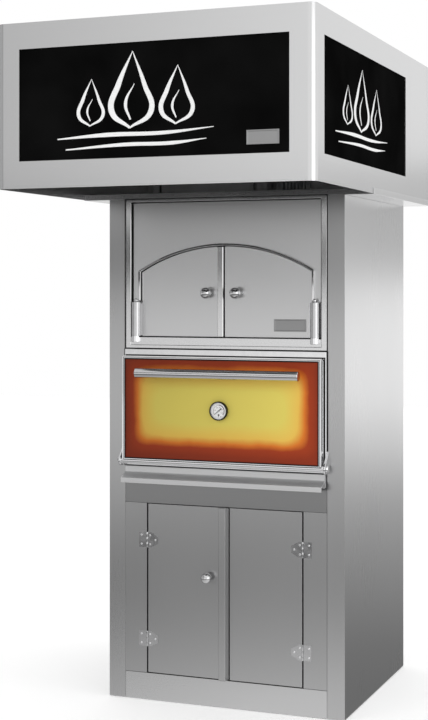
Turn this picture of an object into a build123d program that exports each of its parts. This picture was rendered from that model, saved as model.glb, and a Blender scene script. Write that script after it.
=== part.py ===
from build123d import *
from math import asin, atan2, cos, pi, sin, sqrt
import os

# A charcoal oven in a stainless steel column: a store cupboard at the bottom, the
# oven with its drop-down door and ash drawer, an arched warming cabinet above it,
# and an extraction hood that reaches out over the cook. Millimetres, +Z up. X runs
# to the right as the cook sees it, and the cook stands at -Y. The origin is on the
# floor, in the middle of the whole footprint.

# The column and the hood
column_width = 940.0
column_depth = 850.0
column_height = 1905.0
hood_height = 568.0
hood_reach = 680.0
hood_side_reach = 106.0
hood_corner_radius = 26.0
sheet = 2.0
stile_width = 67.0
stile_return = 22.0
floor_gap = 2.0

# Heights of what is stacked in the column, from the floor up
toe_height = 103.0
cupboard_height = 647.0
fascia_height = 82.0
drawer_face_height = 58.0
oven_frame_height = 442.0
sill_band = 13.0
sill_height = 29.0
sill_setback = 1.0

# Gaps: between fixed neighbours, at a visible seam, and round a door
fit_gap = 0.5
seam = 3.0
door_gap = 2.5
shaft_clearance = 0.05
slide_clearance = 0.5

# The inner frame of square tube, and its feet
tube_side = 40.0
tube_wall = 2.0
foot_pad_radius = 18.0
foot_pad_height = 10.0
foot_stem_radius = 6.0
foot_height = 30.0
cupboard_floor_thickness = 1.5
rail_setback = 60.0

# The cupboard doors, their strips and their butterfly hinges
strip_width = 89.5
cupboard_door_depth = 18.0
centre_strip_width = 42.0
centre_strip_face = 26.0
centre_strip_depth = 20.0
centre_strip_lap = 3.0
leaf_height = 58.0
leaf_thickness = 2.0
fixed_leaf_width = 34.0
door_leaf_width = 44.0
door_leaf_tip = 26.0
knuckle_radius = 3.5
hinge_pin_radius = 2.0
upper_hinge_drop = 137.5
lower_hinge_rise = 128.5

# Ball knobs
knob_radius = 21.0
knob_neck_radius = 7.0
knob_neck = 6.0
knob_rose_radius = 9.0
knob_rose_height = 2.0
knob_bands = 8
knob_offset = 59.0
warm_knobs_middle = -10.0
cupboard_knob_drop = 263.0
warm_knob_rise = 165.0

# The oven: casing, lining, firebox and the frame that the door closes on
casing_depth = 700.0
casing_side_gap = 3.0
firebox_width = 700.0
firebox_height = 355.0
firebox_depth = 600.0
firebox_wall = 6.0
firebox_lift = 36.0
frame_ahead = 8.0
frame_thickness = 10.0
ash_chute_width = 300.0
ash_chute_depth = 260.0
ash_chute_setback = 120.0
ledge_reach = 14.0
ledge_thickness = 4.0
grate_rise = 46.0
grid_rise = 180.0
grate_bar_height = 20.0
grate_bar_width = 12.0
grate_gap = 20.0
rack_side_gap = 4.0
grid_bar = 8.0
grid_bars = 23
flue_radius = 45.0
flue_wall = 1.5
flue_setback = 460.0
flue_reach = 243.0

# The oven door turns on a shaft along its lower edge, held by a lug at each side
pivot_ahead = 30.0
pivot_rise = 19.0
pivot_radius = 12.0
pivot_cap_radius = 14.0
pivot_cap_length = 7.0
lug_thickness = 8.0
lug_height = 82.0
lug_round = 20.0
lug_foot_drop = 3.0
door_width = 790.0
door_top_gap = 24.0
door_rim_width = 13.0
door_foot = 2.0
door_rim_wall = 3.0
door_rim_corner = 8.0
door_back_ahead = 10.0
door_front_ahead = 47.0
door_panel_thickness = 3.0
door_panel_recess = 2.0
door_plug_depth = 6.0
door_plug_gap = 5.0
handle_length = 644.0
handle_radius = 18.0
handle_stand_off = 40.0
handle_drop = 63.0
handle_post_radius = 8.0
handle_post_inset = 45.0

# The door's thermometer
dial_radius = 31.0
bezel_radius = 35.0
bezel_depth = 14.0
bezel_floor = 5.0
dial_thickness = 1.5
glass_thickness = 1.5
needle_pin_radius = 1.5
needle_hub_radius = 3.0
needle_thickness = 1.2
needle_reach = 21.0
needle_tail = 15.0
needle_tail_width = 4.5
needle_tip_width = 1.4
needle_cold_angle = 220.0
stem_radius = 5.0
stem_reach = 60.0

# The ash drawer and its folded front
drawer_depth = 480.0
drawer_pan_height = 40.0
drawer_travel = 280.0
drawer_face_side_gap = 5.0
drawer_face_ahead = 12.0
drawer_lip_ahead = 54.0
drawer_face_drop = 22.0
drawer_lip_height = 18.0
drawer_lip_hem = 10.0
runner_foot = 30.0
runner_lip = 20.0

# The warming cabinet with its arched doorway
surround_width = 22.5
surround_depth = 15.0
surround_head = 10.0
arch_half_width = 343.0
arch_jamb = 249.0
arch_rise = 97.0
arch_trim_width = 8.0
arch_trim_depth = 12.0
warm_case_margin = 29.0
warm_case_depth = 383.0
warm_door_depth = 20.0
warm_door_gap = 3.0
warm_strip_left = -30.0
warm_strip_right = -6.0
warm_strip_depth = 8.0
warm_doors_meet = -1.5
warm_shelf_rise = 180.0
warm_shelf_bar = 6.0
warm_shelf_bars = 15
barrel_inset = 14.0
barrel_ahead = 3.0
barrel_radius = 17.0
barrel_pin_radius = 8.0
barrel_foot = 4.5
barrel_foot_drop = 18.0
barrel_reach = 134.0
barrel_arm = 6.0
finial_radius = 7.0

# The hood: tray, signs, grease filters and duct spigot
tray_lip = 22.0
tray_side_gap = 0.5
sign_half_width = 488.0
sign_bottom = 93.0
sign_top = 477.0
side_sign_front = 93.0
side_sign_length = 1060.0
sign_recess = 5.0
sign_thickness = 4.0
sign_return = 11.0
plenum_setback = 650.0
filter_width = 132.0
filter_height = 405.0
filter_rise = 20.0
filter_depth = 20.0
filter_border = 12.0
filter_slots = 7
filter_slot_width = 7.0
air_slot_width = 10.0
air_slot_inset = 28.0
duct_radius = 75.0
duct_wall = 2.0
duct_flange = 20.0
duct_height = 60.0
duct_setback = 750.0

# Lines and levels that follow from the sizes above
half_column = column_width / 2
half_hood = half_column + hood_side_reach
column_front = (hood_reach - column_depth) / 2
column_back = column_front + column_depth
hood_front = column_front - hood_reach
half_mouth = half_column - stile_width
half_infill = half_mouth - fit_gap
cupboard_top = toe_height + cupboard_height
fascia_top = cupboard_top + fascia_height
drawer_top = fascia_top + drawer_face_height
frame_bottom = drawer_top + seam
frame_top = frame_bottom + oven_frame_height
surround_bottom = frame_top + seam
sill_bottom = surround_bottom + sill_band
sill_top = sill_bottom + sill_height
arch_spring = sill_top + arch_jamb
arch_apex = arch_spring + arch_rise
barrel_top = sill_top + barrel_reach
hood_bottom = column_height + sheet
hood_top = hood_bottom + hood_height


def ahead(distance):
    """The Y of a place this far in front of the column's face."""
    return column_front - distance


def block(x, y, z):
    """A rectangular piece between two values on each axis."""
    middle = Pos((x[0] + x[1]) / 2, (y[0] + y[1]) / 2, (z[0] + z[1]) / 2)
    return middle * Box(abs(x[1] - x[0]), abs(y[1] - y[0]), abs(z[1] - z[0]))


def rod_z(x, y, radius, z):
    """An upright round bar between two heights."""
    return Pos(x, y, (z[0] + z[1]) / 2) * Cylinder(radius, z[1] - z[0])


def rod_x(x, y, z, radius):
    """A round bar along X between two places."""
    return Pos((x[0] + x[1]) / 2, y, z) * Rot(0, 90, 0) * Cylinder(radius, x[1] - x[0])


def rod_y(x, y, z, radius):
    """A round bar along Y between two places."""
    length = abs(y[1] - y[0])
    return Pos(x, (y[0] + y[1]) / 2, z) * Rot(90, 0, 0) * Cylinder(radius, length)


def both_sides(piece):
    """A piece and its mirror image on the other side of the middle."""
    return [piece, mirror(piece, Plane.YZ)]


def bent_sheet(path, thickness):
    """The section of a folded sheet: its outer corners in order, thickened to the left."""
    inner = []
    for i, point in enumerate(path):
        before = path[max(i - 1, 0)]
        after = path[min(i + 1, len(path) - 1)]
        turn_in = atan2(point[1] - before[1], point[0] - before[0])
        turn_out = atan2(after[1] - point[1], after[0] - point[0])
        if i == 0:
            turn_in = turn_out
        if i == len(path) - 1:
            turn_out = turn_in
        half_turn = (turn_out - turn_in) / 2
        heading = turn_in + half_turn + pi / 2
        reach = thickness / cos(half_turn)
        inner.append((point[0] + reach * cos(heading), point[1] + reach * sin(heading)))
    return make_face(Polyline(*path, *reversed(inner), close=True))


def seen_from_front(face, front_at, thickness):
    """A plate drawn as the cook sees it, X by Z, with its face this far ahead."""
    back = Pos(0, ahead(front_at - thickness), 0) * (Plane.XZ * face)
    return extrude(back, thickness)


def seen_from_side(face, x):
    """A section drawn Y by Z, run along X between two places."""
    return extrude(Pos(x[0], 0, 0) * (Plane.YZ * face), x[1] - x[0])


def panel(x, z):
    """A flat rectangle between two values of X and two of Z."""
    return Pos((x[0] + x[1]) / 2, (z[0] + z[1]) / 2) * Rectangle(x[1] - x[0], z[1] - z[0])


def open_box(x, y, z, wall):
    """A box of five walls, open at its front."""
    hollow = block((x[0] + wall, x[1] - wall), (y[0], y[1] - wall), (z[0] + wall, z[1] - wall))
    return block(x, y, z) - hollow


# Column cladding. Each side is one sheet, folded round the front corner into a
# stile and back again as a stiffening return.
def side_panel():
    path = [
        (half_column, column_back),
        (half_column, column_front),
        (half_mouth, column_front),
        (half_mouth, column_front + stile_return),
    ]
    section = bent_sheet(path[::-1], sheet)
    return extrude(Pos(0, 0, floor_gap) * section, column_height - floor_gap)


def back_panel():
    inner = half_column - sheet - fit_gap
    return block((-inner, inner), (column_back - sheet, column_back), (floor_gap, column_height))


# The welded inner frame carries the floor, the oven, the warming cabinet and the
# hood. Its posts stand on threaded feet inside the plinth.
post_inner = half_column - sheet - tube_side
front_post = (column_front + sheet, column_front + sheet + tube_side)
rear_post = (column_back - sheet - tube_side, column_back - sheet)
lower_rail_top = toe_height - fit_gap - cupboard_floor_thickness
lower_rail = (lower_rail_top - tube_side, lower_rail_top)
oven_rail = (fascia_top - tube_side, fascia_top)
cabinet_floor = sill_top - sheet
warm_case_bottom = cabinet_floor - sheet
warm_rail = (warm_case_bottom - tube_side, warm_case_bottom)
oven_back = column_front + casing_depth
warm_back = ahead(-surround_depth) + sheet + warm_case_depth


def square_tube(length):
    """A square tube along Z from the origin."""
    outside = Rectangle(tube_side, tube_side)
    inside = Rectangle(tube_side - 2 * tube_wall, tube_side - 2 * tube_wall)
    return extrude(outside - inside, length)


def post(x, y):
    return Pos(x, y, foot_height) * square_tube(column_height - foot_height)


def cross_rail(y, z):
    """A tube across the column, given its low edges in Y and Z."""
    tube = Rot(0, 90, 0) * square_tube(2 * post_inner)
    return Pos(-post_inner, y + tube_side / 2, z + tube_side / 2) * tube


def side_rail(x, z):
    """A tube from the front post to the rear post."""
    tube = Rot(-90, 0, 0) * square_tube(rear_post[0] - front_post[1])
    return Pos(x, front_post[1], z + tube_side / 2) * tube


def inner_frame():
    post_x = post_inner + tube_side / 2
    pieces = []
    for y in (front_post, rear_post):
        pieces += both_sides(post(post_x, (y[0] + y[1]) / 2))
    for y in (column_front + stile_return + fit_gap, rear_post[0]):
        pieces.append(cross_rail(y, lower_rail[0]))
    for level in (lower_rail, oven_rail, warm_rail):
        pieces += both_sides(side_rail(post_x, level[0]))
    for y in (column_front + rail_setback, oven_back - rail_setback - tube_side):
        pieces.append(cross_rail(y, oven_rail[0]))
    for y in (column_front + rail_setback, warm_back - rail_setback - tube_side):
        pieces.append(cross_rail(y, warm_rail[0]))
    return Compound(pieces)


def levelling_feet():
    post_x = post_inner + tube_side / 2
    feet = []
    for y in (front_post, rear_post):
        middle = (y[0] + y[1]) / 2
        pad = rod_z(post_x, middle, foot_pad_radius, (0, foot_pad_height))
        stem = rod_z(post_x, middle, foot_stem_radius, (foot_pad_height, foot_height))
        plug_side = tube_side - 2 * tube_wall - fit_gap
        plug = Box(plug_side, plug_side, tube_side / 2)
        feet += both_sides(pad + stem + Pos(post_x, middle, foot_height + tube_side / 4) * plug)
    return Compound(feet)


# The cupboard front: plinth, hinge strips and fascia, all folded sheet.
def toe_plate():
    face = bent_sheet([
        (column_front, floor_gap),
        (column_front, toe_height - fit_gap),
        (column_front + stile_return, toe_height - fit_gap),
    ][::-1], sheet)
    return seen_from_side(face, (-half_infill, half_infill))


def base_floor():
    inner = post_inner - fit_gap
    y = (column_front + stile_return + fit_gap, column_back - sheet - fit_gap)
    return block((-inner, inner), y, (lower_rail[1], toe_height - fit_gap))


strip_outer = half_infill
strip_inner = half_infill - strip_width
hinge_x = strip_inner - door_gap
door_outer = hinge_x - door_gap
hinge_ahead = knuckle_radius + 0.1


def hinge_strip():
    path = [
        (strip_outer, column_front + stile_return),
        (strip_outer, column_front),
        (strip_inner, column_front),
        (strip_inner, column_front + stile_return),
    ]
    section = bent_sheet(path[::-1], sheet)
    bottom = toe_height + fit_gap / 2
    return extrude(Pos(0, 0, bottom) * section, cupboard_top - fit_gap - bottom)


def fascia_panel():
    path = [
        (column_front + stile_return, cupboard_top),
        (column_front, cupboard_top),
        (column_front, fascia_top - fit_gap),
        (column_front + stile_return, fascia_top - fit_gap),
    ]
    return seen_from_side(bent_sheet(path[::-1], sheet), (-half_infill, half_infill))


# A cupboard door is a shallow folded pan. The left one carries the strip that
# covers the meeting edge, so the right one starts just beyond that strip.
door_bottom = toe_height + door_gap
door_top = cupboard_top - door_gap
half_strip = centre_strip_width / 2


def door_pan(x):
    z = (door_bottom, door_top)
    outside = block(x, (column_front, column_front + cupboard_door_depth), z)
    inside_x = (x[0] + sheet, x[1] - sheet)
    inside_z = (z[0] + sheet, z[1] - sheet)
    return outside - block(inside_x, (column_front + sheet, column_back), inside_z)


def cupboard_door_left():
    return door_pan((-door_outer, half_strip - centre_strip_lap))


def cupboard_door_right():
    return door_pan((half_strip + centre_strip_lap, door_outer))


def cupboard_strip():
    half_face = centre_strip_face / 2
    path = [
        (-half_strip, column_front),
        (-half_face, ahead(centre_strip_depth)),
        (half_face, ahead(centre_strip_depth)),
        (half_strip, column_front),
    ]
    in_front = Pos(0, ahead(centre_strip_depth)) * Rectangle(column_width, 2 * centre_strip_depth)
    section = bent_sheet(path, sheet) & in_front
    return extrude(Pos(0, 0, door_bottom) * section, door_top - door_bottom)


def ball_knob(x, face_ahead, z):
    """A turned ball knob on a neck and a small rose."""
    centre = -knob_neck - knob_radius
    first = asin(knob_neck_radius / knob_radius)
    step = (pi - first) / knob_bands
    ball = [first + i * step for i in range(knob_bands)]
    profile = Polyline(
        (0, 0),
        (knob_rose_radius, 0),
        (knob_rose_radius, -knob_rose_height),
        (knob_neck_radius, -knob_rose_height),
        *[(knob_radius * sin(turn), centre + knob_radius * cos(turn)) for turn in ball],
        (0, centre - knob_radius),
        close=True,
    )
    return Pos(x, ahead(face_ahead), z) * revolve(make_face(profile), Axis.Y)


# Butterfly hinges: the outer knuckles and the pin belong to the square leaf on the
# strip, and the middle knuckle to the tapered leaf on the door.
def hinge_knuckle(z, radius):
    return rod_z(hinge_x, ahead(hinge_ahead), radius, z)


def knuckle_heights(middle):
    third = leaf_height / 3
    low = middle - leaf_height / 2
    return [(low + i * third, low + (i + 1) * third) for i in range(3)]


def fixed_leaf(middle):
    low, centre, high = knuckle_heights(middle)
    z = (middle - leaf_height / 2, middle + leaf_height / 2)
    plate = block((hinge_x, hinge_x + fixed_leaf_width), (column_front, ahead(leaf_thickness)), z)
    window = (centre[0] - slide_clearance / 2, centre[1] + slide_clearance / 2)
    leaf = plate + hinge_knuckle(low, knuckle_radius) + hinge_knuckle(high, knuckle_radius)
    leaf -= hinge_knuckle(window, knuckle_radius + slide_clearance)
    leaf -= block((hinge_x - knuckle_radius, hinge_x), (column_back, ahead(leaf_thickness)), window)
    return leaf + hinge_knuckle(z, hinge_pin_radius)


def door_leaf(middle):
    low, centre, high = knuckle_heights(middle)
    half_root = leaf_height / 2
    half_tip = door_leaf_tip / 2
    outline = Polyline(
        (hinge_x, middle - half_root),
        (hinge_x - door_leaf_width / 3, middle - half_root),
        (hinge_x - door_leaf_width, middle - half_tip),
        (hinge_x - door_leaf_width, middle + half_tip),
        (hinge_x - door_leaf_width / 3, middle + half_root),
        (hinge_x, middle + half_root),
        close=True,
    )
    leaf = seen_from_front(make_face(outline), leaf_thickness, leaf_thickness)
    for ends in (low, high):
        leaf -= hinge_knuckle(ends, knuckle_radius + slide_clearance)
    knuckle = (centre[0] + slide_clearance / 2, centre[1] - slide_clearance / 2)
    leaf += hinge_knuckle(knuckle, knuckle_radius)
    whole = (middle - half_root, middle + half_root)
    return leaf - hinge_knuckle(whole, hinge_pin_radius + shaft_clearance)


hinge_levels = (door_bottom + lower_hinge_rise, door_top - upper_hinge_drop)


def fixed_hinge_leaves():
    leaves = []
    for level in hinge_levels:
        leaves += both_sides(fixed_leaf(level))
    return Compound(leaves)


def door_leaves():
    """The two tapered leaves of the right-hand door."""
    return Compound([door_leaf(level) for level in hinge_levels])


# The oven body: an outer casing with a drawer space under the firebox, a lining of
# insulation, and the welded firebox with ledges for the grate and the grid.
half_casing = half_mouth - casing_side_gap
casing_front = ahead(frame_ahead - frame_thickness)
shelf_level = frame_bottom
firebox_bottom = shelf_level + firebox_lift
firebox_outer = firebox_width / 2 + firebox_wall
firebox_top = firebox_bottom + firebox_height + 2 * firebox_wall
firebox_back = casing_front + firebox_depth
grate_level = firebox_bottom + grate_rise
grid_level = firebox_bottom + grid_rise
flue_top = hood_bottom + flue_reach
chute_y = (column_front + ash_chute_setback, column_front + ash_chute_setback + ash_chute_depth)
chute = block((-ash_chute_width / 2, ash_chute_width / 2), chute_y, (drawer_top, grate_level))
flue_y = column_front + flue_setback
flue_bore = rod_z(0, flue_y, flue_radius - flue_wall, (frame_bottom + firebox_height, flue_top))
flue_hole = rod_z(0, flue_y, flue_radius + fit_gap, (firebox_top, flue_top))


def oven_casing():
    x = (-half_casing, half_casing)
    shell = open_box(x, (casing_front, oven_back), (fascia_top, frame_top - sheet), sheet)
    shelf_y = (casing_front, oven_back - sheet)
    shelf_x = (x[0] + sheet, x[1] - sheet)
    shell += block(shelf_x, shelf_y, (shelf_level - sheet, shelf_level))
    return shell - chute - flue_hole


def oven_insulation():
    """Five boards of fibre: under, over, behind and at each side of the firebox."""
    x = half_casing - sheet - fit_gap
    top = frame_top - 2 * sheet - fit_gap
    y = (casing_front, oven_back - sheet - fit_gap)
    beside = firebox_outer + fit_gap / 2
    above = firebox_top + fit_gap / 2
    behind = firebox_back + fit_gap / 2
    under_board = block((-x, x), y, (shelf_level, firebox_bottom)) - chute
    over_board = block((-x, x), y, (above, top)) - flue_hole
    back_board = block((-x, x), (behind, y[1]), (firebox_bottom, above))
    side_board = block((beside, x), (y[0], behind), (firebox_bottom, above))
    return Compound([under_board, over_board, back_board, *both_sides(side_board)])


def oven_firebox():
    z = (firebox_bottom, firebox_top)
    shell = open_box((-firebox_outer, firebox_outer), (casing_front, firebox_back), z, firebox_wall)
    ledge_y = (casing_front, firebox_back - firebox_wall)
    inside = firebox_width / 2
    for level in (grate_level, grid_level):
        ledge_z = (level - ledge_thickness, level)
        ledge = block((inside - ledge_reach, inside), ledge_y, ledge_z)
        for side in both_sides(ledge):
            shell += side
    return shell - chute - flue_bore


def oven_front_frame():
    ring = panel((-half_infill, half_infill), (frame_bottom, frame_top))
    mouth_z = (firebox_bottom + firebox_wall, firebox_top - firebox_wall)
    ring -= panel((-firebox_width / 2, firebox_width / 2), mouth_z)
    return seen_from_front(ring, frame_ahead, frame_thickness)


rack_half = firebox_width / 2 - rack_side_gap
rack_y = (column_front + rail_setback, firebox_back - firebox_wall - rack_side_gap)


def charcoal_grate():
    """Loose cast bars that lie across the firebox, side by side on its ledges."""
    z = (grate_level, grate_level + grate_bar_height)
    pitch = grate_bar_width + grate_gap
    count = int((rack_y[1] - rack_y[0] + grate_gap) / pitch)
    starts = [rack_y[0] + i * pitch for i in range(count)]
    return Compound([block((-rack_half, rack_half), (y, y + grate_bar_width), z) for y in starts])


def wire_rack(half, y, level, bar, count):
    """A flat rack of bars that run front to back, welded to two end bars."""
    z = (level, level + bar)
    pitch = (2 * half - bar) / (count - 1)
    rack = block((-half, half), (y[0], y[0] + bar), z) + block((-half, half), (y[1] - bar, y[1]), z)
    for i in range(count):
        low = -half + i * pitch
        rack += block((low, low + bar), y, z)
    return rack


def flue_pipe():
    z = (firebox_top, flue_top)
    return rod_z(0, flue_y, flue_radius, z) - rod_z(0, flue_y, flue_radius - flue_wall, z)


# Hinge lugs: triangular plates against the frame's sides, bored for the door shaft.
pivot_z = frame_bottom + pivot_rise
lug_x = (half_infill, half_infill + lug_thickness)


def hinge_lug():
    pivot = (ahead(pivot_ahead), pivot_z)
    foot = pivot_z - lug_round + lug_foot_drop
    back_edge = Line((column_front, foot), (column_front, foot + lug_height))
    outline = make_hull([back_edge, Pos(*pivot) * CenterArc((0, 0), lug_round, 0, 360)])
    lug = seen_from_side(outline, lug_x)
    return lug - rod_x(lug_x, pivot[0], pivot[1], pivot_radius + shaft_clearance)


def door_hinge_lugs():
    return Compound(both_sides(hinge_lug()))


# The oven door: a polished rim round a finished panel, backed by an insulated
# liner whose plug fills the oven's mouth, all welded along the pivot shaft.
half_door = door_width / 2
oven_door_top = frame_top - door_top_gap
oven_door_bottom = pivot_z + pivot_radius / 2
panel_half = half_door - door_rim_width
panel_bottom = pivot_z + pivot_radius + door_foot
panel_top = oven_door_top - door_rim_width
panel_front = door_front_ahead - door_panel_recess
panel_back = panel_front - door_panel_thickness
shaft_cut = rod_x((-half_column, half_column), ahead(pivot_ahead), pivot_z, pivot_radius)


def door_outline(inset):
    x = (-half_door + inset, half_door - inset)
    return panel(x, (oven_door_bottom + inset, oven_door_top - inset))


def oven_door_rim():
    outside = fillet(door_outline(0).vertices(), door_rim_corner)
    depth = door_front_ahead - door_back_ahead
    rim = seen_from_front(outside, door_front_ahead, depth)
    pocket_z = (oven_door_bottom, oven_door_top - door_rim_wall)
    pocket_x = (-half_door + door_rim_wall, half_door - door_rim_wall)
    rim -= seen_from_front(panel(pocket_x, pocket_z), panel_back, depth)
    window = panel((-panel_half, panel_half), (panel_bottom, panel_top))
    rim -= seen_from_front(window, door_front_ahead, depth)
    return rim - shaft_cut


def thermometer_hole(radius):
    return rod_y(0, (column_back, hood_front), dial_z, radius)


dial_z = (panel_bottom + panel_top) / 2


def oven_door_panel():
    x = panel_half - fit_gap / 2
    plate = panel((-x, x), (panel_bottom + fit_gap / 2, panel_top - fit_gap / 2))
    solid = seen_from_front(plate, panel_front, door_panel_thickness)
    return solid - thermometer_hole(stem_radius + fit_gap / 2)


def oven_door_liner():
    x = half_door - door_rim_wall - fit_gap / 2
    z = (oven_door_bottom, oven_door_top - door_rim_wall - fit_gap / 2)
    depth = panel_back - door_back_ahead
    slab = seen_from_front(panel((-x, x), z), panel_back, depth)
    mouth_z = (firebox_bottom + firebox_wall, firebox_top - firebox_wall)
    plug_x = firebox_width / 2 - door_plug_gap
    plug = panel((-plug_x, plug_x), (mouth_z[0] + door_plug_gap, mouth_z[1] - door_plug_gap))
    slab += seen_from_front(plug, door_back_ahead, door_plug_depth)
    pocket_x = plug_x - door_rim_wall
    pocket_z = (mouth_z[0] + door_plug_gap + door_rim_wall, mouth_z[1] - door_plug_gap - door_rim_wall)
    pocket = panel((-pocket_x, pocket_x), pocket_z)
    slab -= seen_from_front(pocket, panel_back, depth + door_plug_depth - door_rim_wall)
    return slab - shaft_cut - thermometer_hole(stem_radius + fit_gap / 2)


def door_pivot_shaft():
    end = lug_x[1] + slide_clearance
    place = (ahead(pivot_ahead), pivot_z)
    shaft = rod_x((-end, end), *place, pivot_radius)
    cap = rod_x((end, end + pivot_cap_length), *place, pivot_cap_radius)
    cap = chamfer(cap.edges().group_by(Axis.X)[-1], pivot_cap_length / 2)
    for side in both_sides(cap):
        shaft += side
    return shaft


handle_z = oven_door_top - handle_drop


def door_handle():
    centre = panel_front + handle_stand_off
    half = handle_length / 2
    bar = rod_x((-half, half), ahead(centre), handle_z, handle_radius)
    bar = chamfer(bar.edges().filter_by(GeomType.CIRCLE), handle_radius / 12)
    post_y = (ahead(panel_front), ahead(centre))
    post = rod_y(half - handle_post_inset, post_y, handle_z, handle_post_radius)
    for side in both_sides(post):
        bar += side
    return bar


# The thermometer: a black case with a stem through the door, a white dial, a glass,
# and a needle that turns on the dial's pin.
dial_front = panel_front + bezel_floor + dial_thickness
glass_front = panel_front + bezel_depth - fit_gap
needle_back = dial_front + slide_clearance


def thermometer_case():
    case = rod_y(0, (ahead(panel_front), ahead(panel_front + bezel_depth)), dial_z, bezel_radius)
    case = chamfer(case.edges().sort_by(Axis.Y)[0], bezel_floor / 4)
    well = (ahead(panel_front + bezel_floor), ahead(panel_front + bezel_depth))
    case -= rod_y(0, well, dial_z, dial_radius + fit_gap / 2)
    stem_end = ahead(door_back_ahead - door_plug_depth - stem_reach)
    return case + rod_y(0, (stem_end, ahead(panel_front)), dial_z, stem_radius)


def thermometer_dial():
    disc = rod_y(0, (ahead(panel_front + bezel_floor), ahead(dial_front)), dial_z, dial_radius)
    pin_end = needle_back + needle_thickness + slide_clearance
    return disc + rod_y(0, (ahead(dial_front), ahead(pin_end)), dial_z, needle_pin_radius)


def thermometer_glass():
    back = glass_front - glass_thickness
    return rod_y(0, (ahead(back), ahead(glass_front)), dial_z, dial_radius)


def thermometer_needle():
    tip = Polyline(
        (-needle_tail, -needle_tail_width / 2),
        (needle_reach, -needle_tip_width / 2),
        (needle_reach, needle_tip_width / 2),
        (-needle_tail, needle_tail_width / 2),
        close=True,
    )
    shape = make_face(tip) + Circle(needle_hub_radius) - Circle(needle_pin_radius + shaft_clearance)
    shape = Pos(0, dial_z) * Rot(0, 0, needle_cold_angle) * shape
    return seen_from_front(shape, needle_back + needle_thickness, needle_thickness)


# The ash drawer: a pan on two angle runners, behind a folded front whose sloping
# apron throws spills clear of the cupboard doors and serves as its grip.
half_pan = half_casing - sheet - sheet - slide_clearance
runner_top = fascia_top + sheet + sheet
pan_bottom = runner_top + slide_clearance
pan_front = column_front


def ash_drawer_pan():
    """A tray welded from a bottom plate and four walls."""
    x = (-half_pan, half_pan)
    y = (pan_front, pan_front + drawer_depth)
    inner_y = (y[0] + sheet, y[1] - sheet)
    wall_z = (pan_bottom + sheet, pan_bottom + drawer_pan_height)
    bottom = block(x, y, (pan_bottom, wall_z[0]))
    front_wall = block(x, (y[0], inner_y[0]), wall_z)
    back_wall = block(x, (inner_y[1], y[1]), wall_z)
    side_wall = block((half_pan - sheet, half_pan), inner_y, wall_z)
    return Compound([bottom, front_wall, back_wall, *both_sides(side_wall)])


def ash_drawer_front():
    top = drawer_top
    lip_bottom = fascia_top - sheet
    path = [
        (column_front, lip_bottom + drawer_lip_hem),
        (column_front, top),
        (ahead(drawer_face_ahead), top),
        (ahead(drawer_face_ahead), top - drawer_face_drop),
        (ahead(drawer_lip_ahead), lip_bottom + drawer_lip_height),
        (ahead(drawer_lip_ahead), lip_bottom),
        (ahead(drawer_lip_ahead - drawer_lip_hem), lip_bottom),
    ]
    half = half_mouth - drawer_face_side_gap
    return seen_from_side(bent_sheet(path, sheet), (-half, half))


def ash_drawer_runners():
    outer = half_casing - sheet
    base = runner_top - sheet
    path = [(outer - runner_foot, base), (outer, base), (outer, runner_top + runner_lip)]
    section = bent_sheet(path, sheet)
    section = mirror(section, Plane.YZ)
    run = extrude(Plane.XZ * section, drawer_depth)
    run = Pos(0, column_front + stile_return + drawer_depth, 0) * run
    return Compound(both_sides(run))


# The warming cabinet: a frame round a recessed face with an arched doorway, a
# polished arch trim, a sill, a five-walled case behind it and one wire shelf.
surround_top = column_height - fit_gap
half_surround_hole = half_infill - surround_width
arch_radius = (arch_half_width**2 + arch_rise**2) / (2 * arch_rise)
arch_centre = arch_apex - arch_radius
case_front = ahead(-surround_depth) + sheet
half_case = arch_half_width + warm_case_margin
warm_shelf_level = sill_top + warm_shelf_rise


def arch_opening(bottom, grow):
    """The doorway's outline, grown outwards or inwards all round."""
    half = arch_half_width + grow
    spring = arch_centre + sqrt((arch_radius + grow) ** 2 - half**2)
    jambs = Polyline((-half, spring), (-half, bottom), (half, bottom), (half, spring))
    crown = ThreePointArc((-half, spring), (0, arch_apex + grow), (half, spring))
    return make_face([jambs, crown])


def warm_surround():
    ring = panel((-half_infill, half_infill), (surround_bottom, surround_top))
    hole_z = (sill_bottom, surround_top - surround_head)
    ring -= panel((-half_surround_hole, half_surround_hole), hole_z)
    return seen_from_front(ring, 0, surround_depth)


def warm_face():
    plate = panel((-half_infill, half_infill), (surround_bottom, surround_top))
    return seen_from_front(plate - arch_opening(sill_top, 0), -surround_depth, sheet)


def arch_trim():
    foot = barrel_top + finial_radius / 2
    band = arch_opening(foot, arch_trim_width) - arch_opening(sill_top, 0)
    return seen_from_front(band, arch_trim_depth - surround_depth, arch_trim_depth)


def warm_sill():
    x = half_surround_hole - fit_gap / 2
    path = [
        (ahead(-surround_depth), sill_bottom),
        (ahead(-sill_setback), sill_bottom),
        (ahead(-sill_setback), sill_top),
        (ahead(-surround_depth), sill_top),
    ]
    return seen_from_side(bent_sheet(path[::-1], sheet), (-x, x))


def warm_case():
    z = (warm_case_bottom, surround_top - fit_gap)
    case = open_box((-half_case, half_case), (case_front, warm_back), z, sheet)
    ledge_x = (half_case - sheet - ledge_reach, half_case - sheet)
    ledge_y = (case_front + warm_door_depth + rail_setback, warm_back - sheet)
    ledge = block(ledge_x, ledge_y, (warm_shelf_level - sheet, warm_shelf_level))
    for side in both_sides(ledge):
        case += side
    return case


def warm_shelf():
    half = half_case - sheet - rack_side_gap
    y = (case_front + warm_door_depth + rail_setback, warm_back - sheet - rack_side_gap)
    return wire_rack(half, y, warm_shelf_level, warm_shelf_bar, warm_shelf_bars)


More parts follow.
